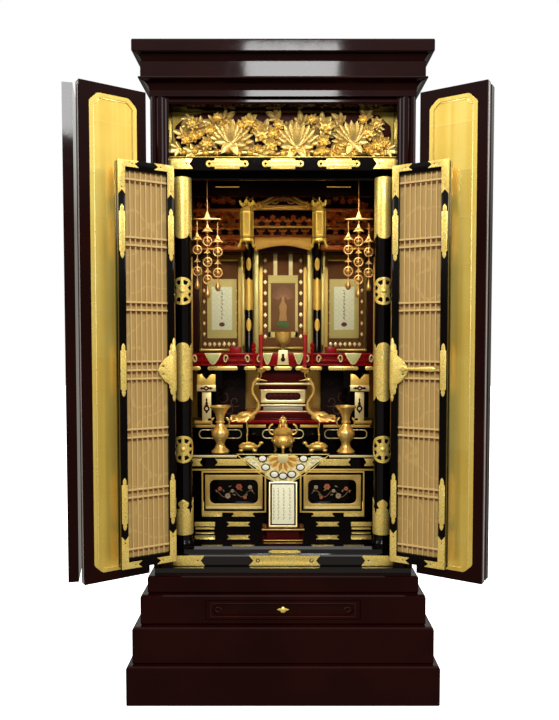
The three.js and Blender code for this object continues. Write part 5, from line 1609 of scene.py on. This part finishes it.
def crane():    # at the tortoise's foot, looking to the right with the neck in an S
    parts = [ball(0, 0, 14, 27, 19, 12, 12)]
    for i in range(6):
        turn = i * 60
        plate = cutPlate([[(7 * cos(radians(a)), 7 * sin(radians(a))) for a in range(0, 360, 60)]], 2, 0.7)
        moved(plate, 0, 0, 0, -90, "X")
        parts.append(moved(plate, 14 * cos(radians(turn)), 10 * sin(radians(turn)), 22.5,
                           22 * cos(radians(turn)), "Y"))
    for x in (-19, 19):
        for y in (-14, 14):
            parts.append(ball(x, y, 5, 7, 5, 4.6, 6))
    parts.append(tube([(22, 0, 12), (31, 0, 16), (35, 0, 22)], 4, 8))
    parts.append(ball(37, 0, 24, 6.5, 4.5, 4.5, 8))
    for y in (-5, 5):
        parts.append(tube([(-2, y, 24), (-3, y, 46), (-1, y * 0.8, 60), (-4, y * 0.6, 84)], 1.9, 8))
        parts.append(ball(-2.5, y, 47, 2.8, 2.8, 3.4, 6))
        for turn in (0, 130, 230):
            a = radians(turn)
            parts.append(tube([(-2, y, 26), (-2 + 9 * cos(a), y + 5 * sin(a), 25)], 1.2, 6))
    parts.append(ball(-6, 0, 98, 26, 13, 15, 12))
    for row, (reach, width, lift) in enumerate(((38, 12, 0), (30, 12, 8), (22, 11, 15))):
        for i in range(4):
            feather = petal(reach, width, 3, 0.5)
            moved(feather, 0, 0, 0, 150 + i * 12, "Y")
            for y in (-13, 13):
                parts.append(copied(feather, 4 - row * 3, y + (-1 if y < 0 else 1) * (2 - row * 0.5),
                                    104 - lift * 0.4 - i * 3, 0, "Y"))
            bpy.data.objects.remove(feather)
    for i in range(5):
        feather = petal(30, 9, 2, 0.5)
        moved(feather, 0, 0, 0, 160 + i * 7, "Y")
        parts.append(moved(feather, -20, (i - 2) * 3.2, 96, 0, "Y"))
    neck = [(14, 0, 104), (24, 0, 112), (30, 0, 124), (29, 0, 138), (21, 0, 150), (14, 0, 162), (12, 0, 176),
            (16, 0, 190), (23, 0, 199)]
    smooth = []
    for a, b in zip(neck, neck[1:]):
        smooth += [a, tuple((p + q) / 2 for p, q in zip(a, b))]
    parts.append(tube(smooth[:6], 6.2, 10))
    parts.append(tube(smooth[4:] + [neck[-1]], 4.2, 10))
    parts.append(ball(26, 0, 202, 8, 5, 5.6, 8))
    parts.append(moved(turned([(0, 0), (3.0, 0), (1.8, 12), (0.4, 24), (0, 24)], sides=8), 31, 0, 202, 100,
                       "Y"))
    parts.append(tube([(33, 0, 204), (37, 0, 212), (37, 0, 222)], 1.6, 6))
    cup = turned([(0, 218), (3, 218), (5, 221), (10, 226), (13.5, 232), (13, 233), (4, 231), (1.2, 238),
                  (0, 238)], 37, 0, 0, 20)
    parts.append(cup)
    leaf = petal(11, 6, 3, 0.5)
    for i in range(8):
        made = copied(leaf, 0, 0, 0, -60, "Y")
        parts.append(moved(moved(made, 5, 0, 222), 0, 0, 0, i * 45, "Z"))
        moved(parts[-1], 37, 0, 0)
    bpy.data.objects.remove(leaf)
    return joined(*parts)


kit = crane()
tortoise = {"out": 98, "y": 238}    # where the tortoise stands; the crane leans in from it
for sign, name in ((-1, "left_crane_candlestick"), (1, "right_crane_candlestick")):
    spot = (sign * tortoise["out"], tortoise["y"], middle(name)[2])
    place = toFrame @ Matrix.Translation(spot) @ Matrix.Diagonal((-sign, 1, 1, 1))
    finished(name + "_cast", [copied(kit)], "brass", cast, [name], place=place, sharp=50)
bpy.data.objects.remove(kit)

for name in ("left_candle", "right_candle"):
    x, y, foot, tip = middle(name)
    wax = turned([(0, foot), (4.6, foot), (4.8, foot + 30), (5.6, foot + 70), (6.4, tip - 9), (6.2, tip - 7.5),
                  (4, tip - 7), (0.8, tip - 7), (0.7, tip), (0, tip)], x, y, 0, 20)
    finished(name + "_wax", [wax], "red_wax", finishes["red_wax"], [name])


def censerPieces():
    bowl = [(0, 14), (14, 14), (23, 18), (29, 27), (30, 36), (27, 44), (24, 48), (27, 53), (29, 57), (29, 59),
            (25, 59), (23, 52), (24, 44), (25, 34), (18, 22), (0, 19)]
    parts = [turned(bowl, sides=40)]
    for i in range(3):
        a = radians(30 + i * 120)
        leg = [(20 * cos(a), 20 * sin(a), 20), (25 * cos(a), 25 * sin(a), 12), (22 * cos(a), 22 * sin(a), 5),
               (26 * cos(a), 26 * sin(a), 0.6)]
        parts.append(tube(leg, 3.4, 8))
        parts.append(ball(24 * cos(a), 24 * sin(a), 17, 6, 6, 6, 8))
    for sign in (-1, 1):
        loop = [(sign * (26 + 13 * sin(t)), 0, 50 + 16 * (1 - cos(t)) * 0.9)
                for t in [i * 0.3 for i in range(11)]]
        parts.append(tube(loop, 2.6, 8))
    for i in range(10):
        a = radians(i * 36)
        parts.append(ball(29.5 * cos(a), 29.5 * sin(a), 34, 3.2, 3.2, 4, 5))
    made = joined(*parts)
    for vertex in made.data.vertices:
        vertex.co.z = max(vertex.co.z, 0.0)
    finished("censer_cast", [made], "brass", cast, ["censer"], place=standing("censer"))
    lid = [turned([(0, 0), (27, 0), (28, 2), (24, 5), (16, 9), (10, 12), (0, 13)], sides=32)]
    lid += [ball(0, 2, 20, 11, 14, 8, 10), ball(0, -10, 29, 8.5, 8, 8, 10), ball(0, -16.5, 27, 4.4, 4, 3.6, 8)]
    for i in range(9):
        a = radians(i * 40)
        lid.append(ball(8.5 * cos(a), -7, 29.5 + 8 * sin(a), 3.2, 3.6, 3.2, 5))
    for sign in (-1, 1):
        lid += [tube([(sign * 7, -10, 20), (sign * 8, -14, 11)], 2.8, 8),
                tube([(sign * 9, 9, 18), (sign * 11, 12, 10)], 3.2, 8), ball(sign * 5, -10, 37, 2.2, 2, 3.4, 5)]
    lid.append(tube([(0, 14, 20), (0, 19, 28), (3, 17, 36), (-2, 14, 40)], 3.0, 8))
    finished("censer_lid_cast", [joined(*lid)], "brass", cast, ["censer_lid"],
             place=standing("censer_lid"))


censerPieces()


def offeringCup():
    wall = [(0, 0), (14, 0), (15, 3), (9, 8), (5, 15), (4, 28), (5, 40), (8, 44), (8, 46), (4.5, 50), (6, 56),
            (14, 63), (21, 73), (24, 86), (24, 99), (22.6, 99.5), (22, 88), (18.5, 75), (11, 66), (0, 62)]
    finished("offering_cup_cast", [turned(wall, sides=36)], "brass", cast, ["offering_cup"],
             place=standing("offering_cup"))


offeringCup()
print("vessels and cranes")


# outer leaves: a gilt moulding round each panel, with stepped corners and beads
def inLeaf(node, place):
    piece, back = frame["nodes"][node], place.inverted()
    points = [back @ (piece.matrix_world @ v.co) for v in piece.data.vertices]
    return [Vector([end(p[i] for p in points) for i in range(3)]) for end in (min, max)]


def cusped(x, z, a, b, r):
    line = []
    for turn, sx, sz in ((270, 1, 1), (180, -1, 1), (90, -1, -1), (0, 1, -1)):
        hollow = arc(x + sx * a, z + sz * b, r, turn, turn - 90, 6)
        line += [(hollow[0][0], hollow[0][1])] + hollow[1:-1] + [(hollow[-1][0], hollow[-1][1])]
    return line


def leafMouldings():
    bright = metalSheet("gildedMoulding", (1.0, 0.78, 0.26, 1), (0.86, 0.60, 0.14, 1), 0.24, hammer=0.2)
    for side in ("left", "right"):
        for leaf, panel, wood in (("outer_door", "_outer_gold_panel", "_outer_leaf"),
                                  ("outer_fold", "_fold_gold_panel", "_outer_fold_leaf")):
            place = places[side][leaf]
            low, high = inLeaf(side + panel, place)
            leafLow, leafHigh = inLeaf(side + wood, place)
            faceUp = (low.y + high.y) > (leafLow.y + leafHigh.y)
            x, z = (low.x + high.x) / 2, (low.z + high.z) / 2
            a, b = (high.x - low.x) / 2 - 0.6, (high.z - low.z) / 2 - 0.6
            ring = [cutPlate([cusped(x, z, a, b, 15), cusped(x, z, a - 6.5, b - 6.5, 14)], 3.4, 1.2),
                    cutPlate([cusped(x, z, a - 7.5, b - 7.5, 13.5), cusped(x, z, a - 10, b - 10, 13)], 2.2,
                             0.8)]
            for sx in (-1, 1):
                for sz in (-1, 1):
                    ring.append(ball(x + sx * (a - 8), -2, z + sz * (b - 8), 3.4, 2, 3.4, 6))
            made = joined(*ring)
            face = leafHigh.y - 0.4 if faceUp else leafLow.y + 0.4
            for vertex in made.data.vertices:
                depth = 3.4 + vertex.co.y if vertex.co.y > -3.4 else 0
                vertex.co.y = face - depth if faceUp else face + depth
            if faceUp:
                made.data.flip_normals()
            body = side + "_" + leaf
            finished(body + "_moulding", [made], "gold_leaf", bright, body=body, place=place)


leafMouldings()


# a pale line of polished metal where the outer leaves meet
def leafEdges():
    nickel = metalSheet("nickel", (0.62, 0.57, 0.53, 1), (0.50, 0.44, 0.41, 1), 0.3)
    for side in ("left", "right"):
        place = places[side]["outer_door"]
        low, high = inLeaf(side + "_outer_leaf", place)
        middle = (low.y + high.y) / 2
        strip = slab((high.x - 1.2, middle - 4, low.z + 3), (high.x + 0.3, middle + 4, high.z - 3), 0.2, 1)
        finished(side + "_leaf_edge", [strip], "brass", nickel, body=side + "_outer_door", place=place)


leafEdges()
print("leaf mouldings")


# drawer front: raised lines and small curls; a lozenge knob
def drawerFront():
    low = span("drawer")[0]
    middleHeight = 224
    rim = [box(0, middleHeight, 176, 17), box(0, middleHeight, 174.6, 15.6)]
    lines = [moved(cutPlate(rim, 0.8, 0.2), 0, low.y, 0)]
    for sign in (-1, 1):
        lines.append(tube(spiral(sign, 158, low.y - 0.5, middleHeight, -9, 9, 12), 0.7, 4))
    raised = lacquer("drawerLine", (0.03, 0.006, 0.004, 1), (0.05, 0.012, 0.008, 1), 0.2)
    finished("drawer_lines", lines, "maroon_lacquer", raised, body="drawer")
    low, high = span("drawer_knob")
    mid = (low + high) / 2
    rose = evenSides([(0, 8.6), (5, 3.4), (9, 3), (15, 0), (9, -3), (5, -3.4), (0, -8.6)])
    plate = moved(cutPlate([rose], 1.8, 0.5), 0, high.y - 0.4, 0)
    stem = moved(turned([(0, 0), (2.6, 0), (2.6, 7), (6, 9), (7, 12), (5, 15), (0, 16)], sides=20), 0, high.y,
                 0, 90, "X")
    reach = min(16.0, high.y - low.y - 0.2)
    for vertex in stem.data.vertices:
        vertex.co.y = high.y - (high.y - vertex.co.y) * reach / 16
    knob = moved(joined(plate, stem), mid.x, 0, mid.z)
    finished("drawer_knob_cast", [knob], "brass", chased, ["drawer_knob"], body="drawer")


drawerFront()
print("drawer")


# back: sunk boards between stiles and rails, and screw heads
def backBoards():
    low, high = span("back_board")
    bottom, top, half, rear = low.z, high.z, high.x, high.y
    boards = []
    for i in range(4):
        left = -half + 2 + i * (2 * half - 4) / 4
        boards.append(slab((left + 0.4, low.y, bottom + 1),
                           (left + (2 * half - 4) / 4 - 0.4, rear - 7, top - 1), 1.5))
    for sign in (-1, 1):
        boards.append(slab((sign * half, rear - 9, bottom), (sign * (half - 52), rear, top), 1.2))
    boards.append(slab((-24, rear - 9, bottom), (24, rear - 0.4, top), 1.2))
    for z in (bottom + 30, (bottom + top) / 2, top - 30):
        boards.append(slab((-half + 50, rear - 9, z - 30), (half - 50, rear - 0.8, z + 30), 1.2))
    rough = lacquer("backPaint", (0.0060, 0.0034, 0.0028, 1), (0.0100, 0.0052, 0.0040, 1), 0.34)
    finished("back_boarding", boards, "black_lacquer", rough, ["back_board"])
    heads = []
    screw = turned([(0, 0), (4.2, 0), (4.2, 0.5), (3, 1.0), (0.8, 1.2), (0, 0.8)], sides=14)
    moved(screw, 0, 0, 0, -90, "X")
    for sign in (-1, 1):
        for i in range(6):
            heads.append(copied(screw, sign * (half - 26), rear - 1.3,
                                bottom + 40 + i * (top - bottom - 80) / 5))
    bpy.data.objects.remove(screw)
    steel = metalSheet("steel", (0.42, 0.40, 0.38, 1), (0.30, 0.28, 0.26, 1), 0.35)
    finished("back_screws", heads, "brass", steel)


backBoards()
print("back boards")
